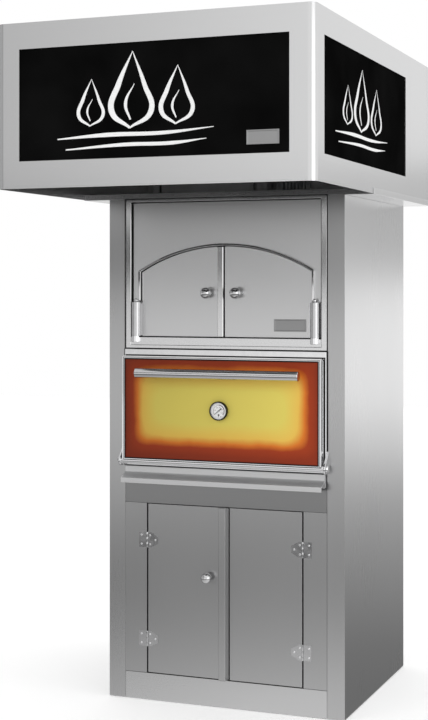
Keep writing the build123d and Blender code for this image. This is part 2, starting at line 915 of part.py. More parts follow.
# The arched doors swing on barrels outside the jambs. Each barrel turns on a pin
# that stands on the sill, with a small ball on top.
barrel_x = arch_half_width + barrel_inset
barrel_y = ahead(barrel_ahead)
barrel_start = sill_top + barrel_foot
warm_door_front = -surround_depth - sheet
warm_door_bottom = sill_top + warm_door_gap
warm_knob_level = warm_door_bottom + warm_knob_rise


def barrel_hinge_pin():
    foot_z = (sill_top - barrel_foot_drop, barrel_start - slide_clearance)
    foot = rod_z(barrel_x, barrel_y, barrel_radius, foot_z)
    sill_space = block((0, half_column), (ahead(-sill_setback), column_back), (0, sill_top))
    pin = rod_z(barrel_x, barrel_y, barrel_pin_radius, (sill_top, barrel_top))
    finial = rod_z(barrel_x, barrel_y, finial_radius, (barrel_top, barrel_top + 2 * finial_radius))
    finial = chamfer(finial.edges().group_by(Axis.Z)[-1], finial_radius / 2)
    return foot - sill_space + pin + finial


def hinge_barrel():
    z = (barrel_start, barrel_top - slide_clearance)
    inner = arch_half_width - warm_door_gap
    arm_z = (warm_door_bottom + barrel_foot, z[1] - barrel_foot)
    arm = block((inner - barrel_arm, inner), (barrel_y, ahead(warm_door_front)), arm_z)
    weld_y = (barrel_y, barrel_y + barrel_radius / 2)
    arm += block((inner - barrel_arm, barrel_x - barrel_pin_radius), weld_y, arm_z)
    barrel = rod_z(barrel_x, barrel_y, barrel_radius, z) + arm
    return barrel - rod_z(barrel_x, barrel_y, barrel_pin_radius + shaft_clearance, z)


def warm_door(x):
    """One half of the arch, folded back all round into a shallow pan."""
    z = (warm_door_bottom, arch_apex)
    skin = arch_opening(z[0], -warm_door_gap) & panel(x, z)
    hollow = arch_opening(z[0] + sheet, -warm_door_gap - sheet)
    hollow = hollow & panel((x[0] + sheet, x[1] - sheet), z)
    door = seen_from_front(skin, warm_door_front, warm_door_depth)
    return door - seen_from_front(hollow, warm_door_front - sheet, warm_door_depth)


def warm_door_left():
    edge = warm_strip_right - warm_door_gap
    return warm_door((-arch_half_width, edge))


def warm_door_right():
    return warm_door((warm_doors_meet, arch_half_width))


def warm_door_strip():
    strip = panel((warm_strip_left, warm_strip_right), (warm_door_bottom, arch_apex))
    strip = strip & arch_opening(warm_door_bottom, -warm_door_gap)
    return seen_from_front(strip, warm_door_front + warm_strip_depth, warm_strip_depth)


# The hood stands in a shallow tray on top of the column. Its front wraps round two
# soft corners, and black sign panels lie in flanged windows in front and right side.
# A flanged spigot on its top takes the duct.
half_skin = half_hood - sheet
duct_y = column_front + duct_setback
duct_outer = duct_radius + duct_wall
window_z = (hood_bottom + sign_bottom, hood_bottom + sign_top)
side_window_y = (hood_front + side_sign_front, hood_front + side_sign_front + side_sign_length)


def hood_section(inset):
    """The hood's outline from above, with its two round front corners."""
    width = 2 * (half_hood - inset)
    y = (hood_front + inset, column_back - inset)
    outline = Pos(0, (y[0] + y[1]) / 2) * Rectangle(width, y[1] - y[0])
    corners = outline.vertices().group_by(Axis.Y)[0]
    return fillet(corners, hood_corner_radius - inset)


def hood_front_panel():
    wrap = hood_section(0) - hood_section(sheet)
    front_strip = Pos(0, hood_front) * Rectangle(2 * half_hood, 2 * hood_corner_radius)
    skin = extrude(Pos(0, 0, hood_bottom) * (wrap & front_strip), hood_height)
    window = panel((-sign_half_width, sign_half_width), window_z)
    flange = offset(window, sheet, kind=Kind.INTERSECTION) - window
    skin -= seen_from_front(window, hood_reach, sign_return)
    return skin + seen_from_front(flange, hood_reach, sign_return)


def side_skin():
    y = (hood_front + hood_corner_radius, column_back)
    return block((half_skin, half_hood), y, (hood_bottom, hood_top))


def hood_right_panel():
    hole = block((half_hood - sign_return, half_hood), side_window_y, window_z)
    rim_y = (side_window_y[0] - sheet, side_window_y[1] + sheet)
    rim_z = (window_z[0] - sheet, window_z[1] + sheet)
    rim = block((half_hood - sign_return, half_hood), rim_y, rim_z)
    return side_skin() + rim - hole


def hood_back_panel():
    x = half_skin - fit_gap / 2
    return block((-x, x), (column_back - sheet, column_back), (hood_bottom, hood_top))


def hood_top_panel():
    lid = hood_section(sheet + fit_gap / 2)
    plate = extrude(Pos(0, 0, hood_top - sheet) * lid, sheet)
    return plate - rod_z(0, duct_y, duct_outer + fit_gap, (hood_top - sheet, hood_top))


def duct_spigot():
    """The round collar for the duct, on a flange that lies on the hood's top."""
    z = (hood_top - sheet, hood_top + duct_height)
    flange = rod_z(0, duct_y, duct_outer + duct_flange, (hood_top, hood_top + sheet))
    return rod_z(0, duct_y, duct_outer, z) + flange - rod_z(0, duct_y, duct_radius, z)


def hood_tray():
    half = half_hood + tray_side_gap + sheet
    y = (column_front, column_back)
    z = (column_height, column_height + sheet)
    floor = block((-half, half), y, z)
    lip_z = (z[0], z[0] + tray_lip)
    front_half = half_skin - fit_gap
    tray = floor + block((-front_half, front_half), (y[0], y[0] + sheet), lip_z)
    side_lip = block((half - sheet, half), y, lip_z)
    for side in both_sides(side_lip):
        tray += side
    return tray - rod_z(0, flue_y, flue_radius + fit_gap, lip_z)


def sign_panels():
    gap = fit_gap / 2
    x = sign_half_width - gap
    z = (window_z[0] + gap, window_z[1] - gap)
    front = seen_from_front(panel((-x, x), z), hood_reach - sign_recess, sign_thickness)
    y = (side_window_y[0] + gap, side_window_y[1] - gap)
    side_x = half_hood - sign_recess
    side = block((side_x - sign_thickness, side_x), y, z)
    return Compound([front, side])


plenum_y = column_front + plenum_setback
filter_z = (hood_bottom + filter_rise, hood_bottom + filter_rise + filter_height)


def plenum_panel():
    x = half_skin - fit_gap
    wall = block((-x, x), (plenum_y, plenum_y + sheet), (hood_bottom, hood_top - sheet))
    y = (plenum_y, plenum_y + sheet)
    half_hole = filter_width + fit_gap
    wall -= block((-half_hole, half_hole), y, (filter_z[0] - fit_gap, filter_z[1] + fit_gap))
    slot_left = -half_skin + air_slot_inset
    return wall - block((slot_left, slot_left + air_slot_width), y, filter_z)


def grease_filter():
    x = (fit_gap, filter_width)
    y = (plenum_y - filter_depth / 2, plenum_y + filter_depth / 2)
    body = block(x, y, filter_z)
    open_width = x[1] - x[0] - 2 * filter_border
    pitch = open_width / filter_slots
    slot_z = (filter_z[0] + filter_border, filter_z[1] - filter_border)
    for i in range(filter_slots):
        middle = x[0] + filter_border + (i + 0.5) * pitch
        body -= block((middle - filter_slot_width / 2, middle + filter_slot_width / 2), y, slot_z)
    return body


def grease_filters():
    return Compound(both_sides(grease_filter()))


# Every piece by the name of its file
right_side = side_panel()
right_leaves = door_leaves()
right_barrel = hinge_barrel()
right_skin = side_skin()

parts = {
    "left_side_panel": mirror(right_side, Plane.YZ),
    "right_side_panel": right_side,
    "back_panel": back_panel(),
    "inner_frame": inner_frame(),
    "levelling_feet": levelling_feet(),
    "toe_plate": toe_plate(),
    "base_floor": base_floor(),
    "hinge_strips": Compound(both_sides(hinge_strip())),
    "fascia_panel": fascia_panel(),
    "fixed_hinge_leaves": fixed_hinge_leaves(),
    "cupboard_door_left": cupboard_door_left(),
    "cupboard_strip": cupboard_strip(),
    "cupboard_knob": ball_knob(-knob_offset, 0, door_top - cupboard_knob_drop),
    "left_door_leaves": mirror(right_leaves, Plane.YZ),
    "cupboard_door_right": cupboard_door_right(),
    "right_door_leaves": right_leaves,
    "oven_casing": oven_casing(),
    "oven_insulation": oven_insulation(),
    "oven_firebox": oven_firebox(),
    "oven_front_frame": oven_front_frame(),
    "charcoal_grate": charcoal_grate(),
    "cooking_grid": wire_rack(rack_half, rack_y, grid_level, grid_bar, grid_bars),
    "flue_pipe": flue_pipe(),
    "door_hinge_lugs": door_hinge_lugs(),
    "oven_door_rim": oven_door_rim(),
    "oven_door_panel": oven_door_panel(),
    "oven_door_liner": oven_door_liner(),
    "door_pivot_shaft": door_pivot_shaft(),
    "door_handle": door_handle(),
    "thermometer_case": thermometer_case(),
    "thermometer_dial": thermometer_dial(),
    "thermometer_glass": thermometer_glass(),
    "thermometer_needle": thermometer_needle(),
    "ash_drawer_runners": ash_drawer_runners(),
    "ash_drawer_front": ash_drawer_front(),
    "ash_drawer_pan": ash_drawer_pan(),
    "warm_surround": warm_surround(),
    "warm_face": warm_face(),
    "arch_trim": arch_trim(),
    "warm_sill": warm_sill(),
    "warm_case": warm_case(),
    "warm_shelf": warm_shelf(),
    "barrel_hinge_pins": Compound(both_sides(barrel_hinge_pin())),
    "left_hinge_barrel": mirror(right_barrel, Plane.YZ),
    "right_hinge_barrel": right_barrel,
    "warm_door_left": warm_door_left(),
    "warm_door_right": warm_door_right(),
    "warm_door_strip": warm_door_strip(),
    "warm_knob_left": ball_knob(warm_knobs_middle - knob_offset, warm_door_front, warm_knob_level),
    "warm_knob_right": ball_knob(warm_knobs_middle + knob_offset, warm_door_front, warm_knob_level),
    "hood_tray": hood_tray(),
    "hood_front_panel": hood_front_panel(),
    "hood_left_panel": mirror(right_skin, Plane.YZ),
    "hood_right_panel": hood_right_panel(),
    "hood_back_panel": hood_back_panel(),
    "hood_top_panel": hood_top_panel(),
    "duct_spigot": duct_spigot(),
    "sign_panels": sign_panels(),
    "plenum_panel": plenum_panel(),
    "grease_filters": grease_filters(),
}

os.makedirs("parts", exist_ok=True)
for name, piece in parts.items():
    export_step(piece, f"parts/{name}.step")
print(len(parts), "pieces, drawer travel", drawer_travel)
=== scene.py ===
from math import asin, cos, pi, radians, sin

import bpy
from mathutils import Euler, Matrix, Vector


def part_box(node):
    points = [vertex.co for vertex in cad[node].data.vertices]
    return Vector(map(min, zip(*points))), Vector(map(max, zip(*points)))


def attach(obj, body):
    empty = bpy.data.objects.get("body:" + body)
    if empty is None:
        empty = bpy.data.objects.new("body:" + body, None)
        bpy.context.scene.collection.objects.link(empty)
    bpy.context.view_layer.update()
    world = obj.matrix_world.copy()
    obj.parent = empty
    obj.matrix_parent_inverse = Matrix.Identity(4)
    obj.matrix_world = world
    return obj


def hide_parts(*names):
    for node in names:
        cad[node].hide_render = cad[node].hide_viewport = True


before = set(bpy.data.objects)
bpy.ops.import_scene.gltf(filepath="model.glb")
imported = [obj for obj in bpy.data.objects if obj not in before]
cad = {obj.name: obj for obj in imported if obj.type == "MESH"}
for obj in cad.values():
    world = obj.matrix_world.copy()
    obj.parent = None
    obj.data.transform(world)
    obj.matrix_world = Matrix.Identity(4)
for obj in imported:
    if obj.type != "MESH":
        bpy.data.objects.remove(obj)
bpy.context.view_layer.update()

# The camera stands at the cook's right, at eye height, and looks level at the column. Its
# long lens is shifted down, so that uprights stay upright.
bpy.ops.object.select_all(action="DESELECT")
column_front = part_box("hinge_strips")[0].y
camera_place = (2.012, column_front - 5.195, 1.561)
camera_turn = (pi / 2, 0, radians(21.54))
bpy.ops.object.camera_add(location=camera_place, rotation=camera_turn)
camera = bpy.context.object
camera.data.lens = 74.66
camera.data.shift_y = -0.0977
bpy.context.scene.camera = camera
bpy.context.scene.view_settings.view_transform = "Standard"


# The studio: an even grey room that lights softly from all round. The camera sees it as
# white, and steel sees its walls darken towards the left.
def tones(nodes, links, value, stops):
    """A colour for each part of the value's range."""
    ramp = nodes.new("ShaderNodeValToRGB")
    while len(ramp.color_ramp.elements) < len(stops):
        ramp.color_ramp.elements.new(0.5)
    for element, (place, colour) in zip(ramp.color_ramp.elements, stops):
        element.position = place
        element.color = (*colour, 1)
    links.new(value, ramp.inputs["Fac"])
    return ramp.outputs["Color"]


def greys(stops):
    """The same stops with plain greys for their colours."""
    return [(place, (shade, shade, shade)) for place, shade in stops]


def calculate(nodes, links, operation, *values):
    """One step of arithmetic on numbers and node outputs."""
    step = nodes.new("ShaderNodeMath")
    step.operation = operation
    for socket, value in zip(step.inputs, values):
        if isinstance(value, (int, float)):
            socket.default_value = value
        else:
            links.new(value, socket)
    return step.outputs[0]


def mixed(nodes, links, share, first, second):
    """Two shaders, of which the second has the share."""
    mix = nodes.new("ShaderNodeMixShader")
    for socket, value in zip(mix.inputs, (share, first, second)):
        links.new(value, socket)
    return mix.outputs[0]


world = bpy.data.worlds.new("studio")
bpy.context.scene.world = world
world.use_nodes = True
nodes = world.node_tree.nodes
links = world.node_tree.links
white = (1.0, 1.0, 1.0, 1)
room_light = nodes["Background"]
room_light.inputs["Color"].default_value = white
room_light.inputs["Strength"].default_value = 0.95
white_cove = nodes.new("ShaderNodeBackground")
white_cove.inputs["Color"].default_value = white

direction = nodes.new("ShaderNodeTexCoord")
axes = nodes.new("ShaderNodeSeparateXYZ")
links.new(direction.outputs["Generated"], axes.inputs[0])
left_to_right = nodes.new("ShaderNodeMapRange")
left_to_right.inputs["From Min"].default_value = -1.0
links.new(axes.outputs["X"], left_to_right.inputs["Value"])
wall_greys = greys([(0.0, 0.55), (0.18, 0.42), (0.27, 0.70), (0.36, 1.04), (1.0, 1.0)])
mirrored_walls = nodes.new("ShaderNodeBackground")
wall_colour = tones(nodes, links, left_to_right.outputs[0], wall_greys)
links.new(wall_colour, mirrored_walls.inputs["Color"])

path = nodes.new("ShaderNodeLightPath")
to_camera = path.outputs["Is Camera Ray"]
through_glass = path.outputs["Is Transmission Ray"]
direct_view = calculate(nodes, links, "MAXIMUM", to_camera, through_glass)
in_steel = path.outputs["Is Glossy Ray"]
for_steel = mixed(nodes, links, in_steel, room_light.outputs[0], mirrored_walls.outputs[0])
for_camera = mixed(nodes, links, direct_view, for_steel, white_cove.outputs[0])
links.new(for_camera, nodes["World Output"].inputs["Surface"])


def soft_box(name, place, aim, width, height, power):
    """A large rectangular lamp that points at a place, and that steel doesn't mirror."""
    turn = (Vector(aim) - Vector(place)).to_track_quat("-Z", "Y").to_euler()
    bpy.ops.object.light_add(type="AREA", location=place, rotation=turn)
    lamp = bpy.context.object
    lamp.name = name
    lamp.data.shape = "RECTANGLE"
    lamp.data.size = width
    lamp.data.size_y = height
    lamp.data.energy = power
    lamp.visible_glossy = False


soft_box("key_light", (-2.6, -4.6, 4.2), (0, -0.2, 1.3), 2.4, 2.4, 26)
soft_box("side_light", (4.6, -0.6, 3.4), (0.4, 0.2, 1.5), 2.0, 2.6, 16)
soft_box("top_light", (0.3, 0.0, 5.2), (0.0, 0.0, 2.0), 3.0, 3.0, 20)


# The floor is a pale seamless sheet. It is lit from above, so it keeps a soft shadow. It
# also glows a little, which lights nothing, so that its far edge goes over into white.
def new_finish(name):
    """A node material and its parts."""
    finish = bpy.data.materials.new(name)
    finish.use_nodes = True
    nodes = finish.node_tree.nodes
    return finish, nodes, finish.node_tree.links, nodes["Principled BSDF"]


bpy.ops.object.select_all(action="DESELECT")
bpy.ops.mesh.primitive_plane_add(size=28.0, location=(0, 0, 0))
floor = bpy.context.object
floor.name = "floor"
floor_finish, nodes, links, shader = new_finish("pale_floor")
shader.inputs["Base Color"].default_value = (0.86, 0.86, 0.86, 1)
shader.inputs["Roughness"].default_value = 0.9
shader.inputs["Specular IOR Level"].default_value = 0.1
glow = nodes.new("ShaderNodeEmission")
glow.inputs["Strength"].default_value = 0.26
glowing = nodes.new("ShaderNodeAddShader")
links.new(shader.outputs[0], glowing.inputs[0])
links.new(glow.outputs[0], glowing.inputs[1])
path = nodes.new("ShaderNodeLightPath")
not_diffuse = calculate(nodes, links, "SUBTRACT", 1.0, path.outputs["Is Diffuse Ray"])
floor_look = mixed(nodes, links, not_diffuse, shader.outputs[0], glowing.outputs[0])
links.new(floor_look, nodes["Material Output"].inputs["Surface"])
floor.data.materials.append(floor_finish)

# Grey flags and white cards stand out of the picture, and show only in the steel. The floor
# has two halves, which fade with the distance from the column.
fade_reach = 10.0


def screen_for_steel(screen, fade):
    """Lets only mirrors and brushed metal see a screen, whose grey changes with distance."""
    cloth, nodes, links, shader = new_finish(screen.name + "_cloth")
    place = nodes.new("ShaderNodeTexCoord")
    away = nodes.new("ShaderNodeVectorMath")
    away.operation = "LENGTH"
    links.new(place.outputs["Object"], away.inputs[0])
    share = calculate(nodes, links, "MULTIPLY", away.outputs["Value"], 1 / fade_reach)
    stops = greys([(distance / fade_reach, shade) for distance, shade in fade])
    glow = nodes.new("ShaderNodeEmission")
    links.new(tones(nodes, links, share, stops), glow.inputs["Color"])
    links.new(glow.outputs[0], nodes["Material Output"].inputs["Surface"])
    screen.data.materials.append(cloth)
    for ray in ("camera", "diffuse", "transmission", "volume_scatter", "shadow"):
        setattr(screen, "visible_" + ray, False)


def floor_screen(name, place, side, fade):
    """The floor before or behind the column's front, as steel sees it."""
    bpy.ops.object.select_all(action="DESELECT")
    bpy.ops.mesh.primitive_plane_add(size=26, location=place)
    screen = bpy.context.object
    screen.name = name
    bpy.ops.object.mode_set(mode="EDIT")
    bpy.ops.mesh.select_all(action="SELECT")
    bpy.ops.mesh.bisect(plane_co=(0, column_front, 0), plane_no=(0, side, 0), clear_outer=True)
    bpy.ops.object.mode_set(mode="OBJECT")
    screen_for_steel(screen, fade)


def standing_screen(name, place, turn, width, height, shade):
    """An upright screen at a place, turned about the vertical."""
    bpy.ops.object.select_all(action="DESELECT")
    bpy.ops.mesh.primitive_plane_add(size=1, location=place, rotation=(pi / 2, 0, radians(turn)))
    screen = bpy.context.object
    screen.name = name
    screen.scale = (width, height, 1)
    bpy.ops.object.transform_apply()
    screen_for_steel(screen, [(0, shade), (fade_reach, shade)])


front_fade = [(0, 0.84), (0.5, 0.80), (1.0, 0.66), (1.8, 0.44), (3.0, 0.18), (4.4, 0.12)]
front_fade += [(6.0, 0.64), (8.5, 1.1)]
back_fade = [(0, 0.22), (0.8, 0.24), (1.9, 0.32), (3.6, 0.42), (6.0, 0.55), (9.5, 1.1)]
floor_screen("front_floor", (0.6, column_front, 0.004), 1, front_fade)
floor_screen("back_floor", (0.4, 0.3, 0.004), -1, back_fade)
standing_screen("left_flag", (-4.8, 2.75, 1.8), 60, 4.5, 3.6, 0.1)
standing_screen("right_card", (4.8, -2.75, 1.8), 60, 4.6, 3.2, 1.8)
standing_screen("back_card", (2.2, 7.0, 1.05), -17, 6.0, 1.1, 1.4)
standing_screen("back_flag", (2.2, 7.0, 2.15), -17, 6.0, 0.9, 0.66)
standing_screen("head_flag", (-0.75, -1.95, 1.74), -21, 2.2, 0.30, 0.03)


# Brushed stainless sheet clads the column and the hood. Its grain runs upright on the
# column, as the sheets are cut along the coil, and along the length of folded strips.
def grain(nodes, links, scale, detail=3.0):
    """Noise stretched along the piece: a small scale on an axis makes long streaks there."""
    place = nodes.new("ShaderNodeTexCoord")
    stretch = nodes.new("ShaderNodeMapping")
    stretch.inputs["Scale"].default_value = scale
    noise = nodes.new("ShaderNodeTexNoise")
    noise.inputs["Scale"].default_value = 1.0
    noise.inputs["Detail"].default_value = detail
    links.new(place.outputs["Object"], stretch.inputs["Vector"])
    links.new(stretch.outputs[0], noise.inputs["Vector"])
    return noise.outputs["Fac"]


def spread(nodes, links, value, low, high):
    """The value's usual range, spread between two numbers."""
    ranger = nodes.new("ShaderNodeMapRange")
    ranger.inputs["From Min"].default_value = 0.3
    ranger.inputs["From Max"].default_value = 0.7
    ranger.inputs["To Min"].default_value = low
    ranger.inputs["To Max"].default_value = high
    links.new(value, ranger.inputs["Value"])
    return ranger.outputs[0]


def brushed_sheet(name, scale, shade=0.5, rough=0.28):
    """Stainless steel with a fine directional grain and faint cloudy wipe marks."""
    finish, nodes, links, shader = new_finish(name)
    shader.inputs["Metallic"].default_value = 1.0
    lines = grain(nodes, links, scale)
    clouds = grain(nodes, links, (2.2, 2.2, 1.4), 2.0)
    dark = (shade * 0.994, shade * 0.994, shade * 0.999)
    light = (shade * 1.004, shade * 1.004, shade * 1.009)
    links.new(tones(nodes, links, lines, [(0.3, dark), (0.7, light)]), shader.inputs["Base Color"])
    line_rough = spread(nodes, links, lines, rough - 0.004, rough + 0.004)
    cloud_rough = spread(nodes, links, clouds, -0.012, 0.012)
    both = calculate(nodes, links, "ADD", line_rough, cloud_rough)
    links.new(both, shader.inputs["Roughness"])
    return finish


def dress(finish, *names):
    """Gives CAD pieces their finish."""
    for name in names:
        cad[name].data.materials.clear()
        cad[name].data.materials.append(finish)


def soften_edges(width, *names):
    """Gives CAD pieces a small round along each sharp edge, as a press brake leaves it."""
    for name in names:
        weld = cad[name].modifiers.new("weld", "WELD")
        weld.merge_threshold = 0.00001
        edge = cad[name].modifiers.new("edge", "BEVEL")
        edge.width = width
        edge.segments = 3
        edge.limit_method = "ANGLE"
        edge.angle_limit = radians(40)


# Streaks are fine across the grain and long along it.
fine = 900.0
long = 9.0
sheet_edge = 0.0008
upright_grain = brushed_sheet("brushed_upright", (fine, fine, long))
dress(upright_grain, "left_side_panel", "right_side_panel", "back_panel")
soften_edges(sheet_edge, "left_side_panel", "right_side_panel")


# Inside the column a welded frame of mill-finish square tube carries everything. It
# stands on four levelling feet, and a loose floor lies in the cupboard.
def relief(nodes, links, shader, value, strength, height):
    """Small bumps that follow the value."""
    bump = nodes.new("ShaderNodeBump")
    bump.inputs["Strength"].default_value = strength
    bump.inputs["Distance"].default_value = height
    links.new(value, bump.inputs["Height"])
    links.new(bump.outputs[0], shader.inputs["Normal"])


def mill_sheet(name, shade, rough):
    """Unpolished sheet with a mottled skin."""
    finish, nodes, links, shader = new_finish(name)
    shader.inputs["Metallic"].default_value = 1.0
    mottle = grain(nodes, links, (60.0, 60.0, 60.0), 5.0)
    dark = (shade * 0.82, shade * 0.83, shade * 0.84)
    light = (shade * 1.1, shade * 1.1, shade * 1.1)
    links.new(tones(nodes, links, mottle, [(0.32, dark), (0.68, light)]), shader.inputs["Base Color"])
    links.new(spread(nodes, links, mottle, rough - 0.08, rough + 0.1), shader.inputs["Roughness"])
    relief(nodes, links, shader, mottle, 0.1, 0.0003)
    return finish


mill_steel = mill_sheet("mill_steel", 0.5, 0.42)
dress(mill_steel, "inner_frame", "levelling_feet", "base_floor")

# The cupboard's front: a toe plate, two hinge strips and a fascia, folded from the same
# sheet. The doors are shallow pans, and a folded strip covers where they meet.
fold_edge = 0.002
# Painted light and shade: the toe plate's steel is lighter, the fascia's and doors' darker.
toe_grain_painted_light = brushed_sheet("brushed_toe_painted_light", (long, fine, fine), 0.6)
dress(toe_grain_painted_light, "toe_plate")
fascia_grain_painted_shade = brushed_sheet("brushed_fascia_painted_shade", (long, fine, fine), 0.33, 0.3)
dress(fascia_grain_painted_shade, "fascia_panel")
soften_edges(fold_edge, "toe_plate", "fascia_panel")
door_grain_painted_shade = brushed_sheet("brushed_doors_painted_shade", (fine, fine, long), 0.46, 0.3)
door_pieces = ("hinge_strips", "cupboard_door_left", "cupboard_door_right", "cupboard_strip")
dress(door_grain_painted_shade, *door_pieces)
soften_edges(fold_edge, *door_pieces)


# Four polished butterfly hinges carry the cupboard doors. Each leaf is held by round
# head screws, two on the square leaf and three on the tapered one.
def polished(name, shade=0.83, rough=0.07):
    """Mirror-bright metal with fine rub marks."""
    finish, nodes, links, shader = new_finish(name)
    shader.inputs["Metallic"].default_value = 1.0
    rubs = grain(nodes, links, (40.0, 160.0, 40.0), 4.0)
    dark = (shade * 0.97, shade * 0.97, shade * 0.98)
    light = (shade * 1.02, shade * 1.02, shade * 1.03)
    links.new(tones(nodes, links, rubs, [(0.35, dark), (0.65, light)]), shader.inputs["Base Color"])
    links.new(spread(nodes, links, rubs, rough - 0.03, rough + 0.05), shader.inputs["Roughness"])
    relief(nodes, links, shader, rubs, 0.03, 0.0002)
    return finish


leaf_edge = 0.0009
hinge_leaves = ("fixed_hinge_leaves", "left_door_leaves", "right_door_leaves")
# Painted shade: the hinges' polished steel is darker than the screws'.
hinge_steel_painted_shade = polished("hinge_steel_painted_shade", 0.58, 0.16)
dress(hinge_steel_painted_shade, *hinge_leaves)
soften_edges(leaf_edge, *hinge_leaves)


def block(size, middle, turn=(0, 0, 0)):
    """A plain block, as a start or as a cutting tool."""
    bpy.ops.object.select_all(action="DESELECT")
    bpy.ops.mesh.primitive_cube_add(size=1, location=middle, rotation=turn)
    piece = bpy.context.object
    piece.scale = size
    bpy.ops.object.transform_apply()
    return piece


def cut_away(piece, tool):
    """Cuts the tool's shape out of a piece, and puts the tool away."""
    cut = piece.modifiers.new("cut", "BOOLEAN")
    cut.operation = "DIFFERENCE"
    cut.object = tool
    bpy.context.view_layer.objects.active = piece
    bpy.ops.object.modifier_apply(modifier="cut")
    bpy.data.objects.remove(tool)


def joined(name, pieces):
    """Several pieces as one."""
    bpy.ops.object.select_all(action="DESELECT")
    for piece in pieces:
        piece.select_set(True)
    bpy.context.view_layer.objects.active = pieces[0]
    bpy.ops.object.join()
    pieces[0].name = name
    return pieces[0]


screw_radius = 0.0042
screw_dome = 0.0016
slot_width = 0.0009
slot_length = 1.2 * screw_radius


def screw_head():
    """A low dome with a cross slot, facing the cook, made once at the origin."""
    bpy.ops.object.select_all(action="DESELECT")
    bpy.ops.mesh.primitive_uv_sphere_add(segments=20, ring_count=12, radius=screw_radius)
    head = bpy.context.object
    bpy.ops.object.mode_set(mode="EDIT")
    bpy.ops.mesh.select_all(action="SELECT")
    bpy.ops.mesh.bisect(plane_co=(0, 0, 0), plane_no=(0, 1, 0), use_fill=True, clear_outer=True)
    bpy.ops.mesh.select_all(action="SELECT")
    bpy.ops.transform.resize(value=(1, screw_dome / screw_radius, 1), center_override=(0, 0, 0))
    bpy.ops.object.mode_set(mode="OBJECT")
    for across, up in ((slot_width, slot_length), (slot_length, slot_width)):
        cut_away(head, block((across, screw_dome, up), (0, -screw_dome, 0)))
    return head


def set_of(master, name, places, turns):
    """Copies of a small piece, each at its place and turn, joined as one piece."""
    copies = []
    for place, turn in zip(places, turns):
        copy = master.copy()
        copy.data = master.data.copy()
        copy.data.transform(Matrix.Translation(place) @ turn.to_matrix().to_4x4())
        bpy.context.scene.collection.objects.link(copy)
        copies.append(copy)
    return joined(name, copies)


def smooth(piece):
    """Smooth shading that keeps the sharp edges."""
    bpy.ops.object.select_all(action="DESELECT")
    piece.select_set(True)
    bpy.context.view_layer.objects.active = piece
    bpy.ops.object.shade_smooth_by_angle(angle=radians(35))


head = screw_head()
smooth(head)
chrome = polished("polished_steel")
leaf_thickness = 0.002
leaf_face = column_front - leaf_thickness
hinge_line = 0.3105
hinge_levels = (0.234, 0.610)
square_leaf_screws = [(0.024, -0.017), (0.024, 0.017)]
taper_leaf_screws = [(-0.011, -0.017), (-0.011, 0.017), (-0.033, 0.0)]
turn_between_screws = 0.7


def leaf_screws(side, offsets):
    """Where the screws go in one leaf of both hinges on a side."""
    places = []
    for level in hinge_levels:
        for along, up in offsets:
            places.append(Vector((side * (hinge_line + along), leaf_face, level + up)))
    return places


both_square = leaf_screws(-1, square_leaf_screws) + leaf_screws(1, square_leaf_screws)
for name, places, body in (
    ("strip_screws", both_square, "cabinet"),
    ("left_leaf_screws", leaf_screws(-1, taper_leaf_screws), "cupboard_left"),
    ("right_leaf_screws", leaf_screws(1, taper_leaf_screws), "cupboard_right"),
):
    turns = [Euler((0, turn_between_screws * i, 0)) for i in range(len(places))]
    screws = set_of(head, name, places, turns)
    screws.data.materials.append(chrome)
    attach(screws, body)


# Ball knobs are turned from bar in one piece: a thin rose against the door, a waisted
# neck and the ball, all polished. One is on the cupboard and two on the warming doors.
def turned(name, profile, place, axis):
    """A round piece, drawn as a profile of radius and reach and spun about its axis."""
    along = Vector(axis)
    across = Vector((0, 0, 1)) if abs(along.z) < 0.5 else Vector((1, 0, 0))
    points = [Vector(place) + across * radius + along * reach for radius, reach in profile]
    bpy.ops.object.select_all(action="DESELECT")
    bpy.ops.mesh.primitive_plane_add(size=0.01)
    piece = bpy.context.object
    piece.name = name
    bpy.ops.object.mode_set(mode="EDIT")
    bpy.ops.mesh.select_all(action="SELECT")
    bpy.ops.mesh.merge(type="CENTER")
    bpy.ops.transform.translate(value=points[0])
    for before, after in zip(points, points[1:]):
        bpy.ops.mesh.extrude_vertices_move(TRANSFORM_OT_translate={"value": after - before})
    bpy.ops.mesh.select_all(action="SELECT")
    bpy.ops.mesh.spin(steps=48, angle=2 * pi, center=place, axis=axis)
    bpy.ops.mesh.select_all(action="SELECT")
    bpy.ops.mesh.remove_doubles(threshold=1e-6)
    bpy.ops.mesh.normals_make_consistent(inside=False)
    bpy.ops.object.mode_set(mode="OBJECT")
    smooth(piece)
    return piece


ball_radius = 0.021
ball_reach = 0.027
neck_radius = 0.007
rose = [(0.0, 0.0), (0.0090, 0.0), (0.0090, 0.0014), (0.0086, 0.0020)]
neck = [(0.0074, 0.0024), (0.0069, 0.0036), (0.0068, 0.0050)]
ball_start = asin(neck_radius / ball_radius)
ball_steps = 24
ball = []
for i in range(ball_steps):
    turn = ball_start + (pi - ball_start) * i / ball_steps
    ball.append((ball_radius * sin(turn), ball_reach - ball_radius * cos(turn)))
knob_profile = rose + neck + ball + [(0.0, ball_reach + ball_radius)]

# Painted shade: the knobs' polished steel is darker than the screws'.
knob_steel_painted_shade = polished("knob_steel_painted_shade", 0.62, 0.09)
for node, body in (
    ("cupboard_knob", "cupboard_left"),
    ("warm_knob_left", "warm_left"),
    ("warm_knob_right", "warm_right"),
):
    low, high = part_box(node)
    foot = ((low.x + high.x) / 2, high.y, (low.z + high.z) / 2)
    knob = turned(node + "_turned", knob_profile, foot, (0, -1, 0))
    knob.data.materials.append(knob_steel_painted_shade)
    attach(knob, body)
    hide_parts(node)

# The oven is a steel casing with a blanket of ceramic fibre round a welded firebox. It
# is hidden until the door drops, apart from the frame that the door closes on.
dress(mill_steel, "oven_casing", "flue_pipe")

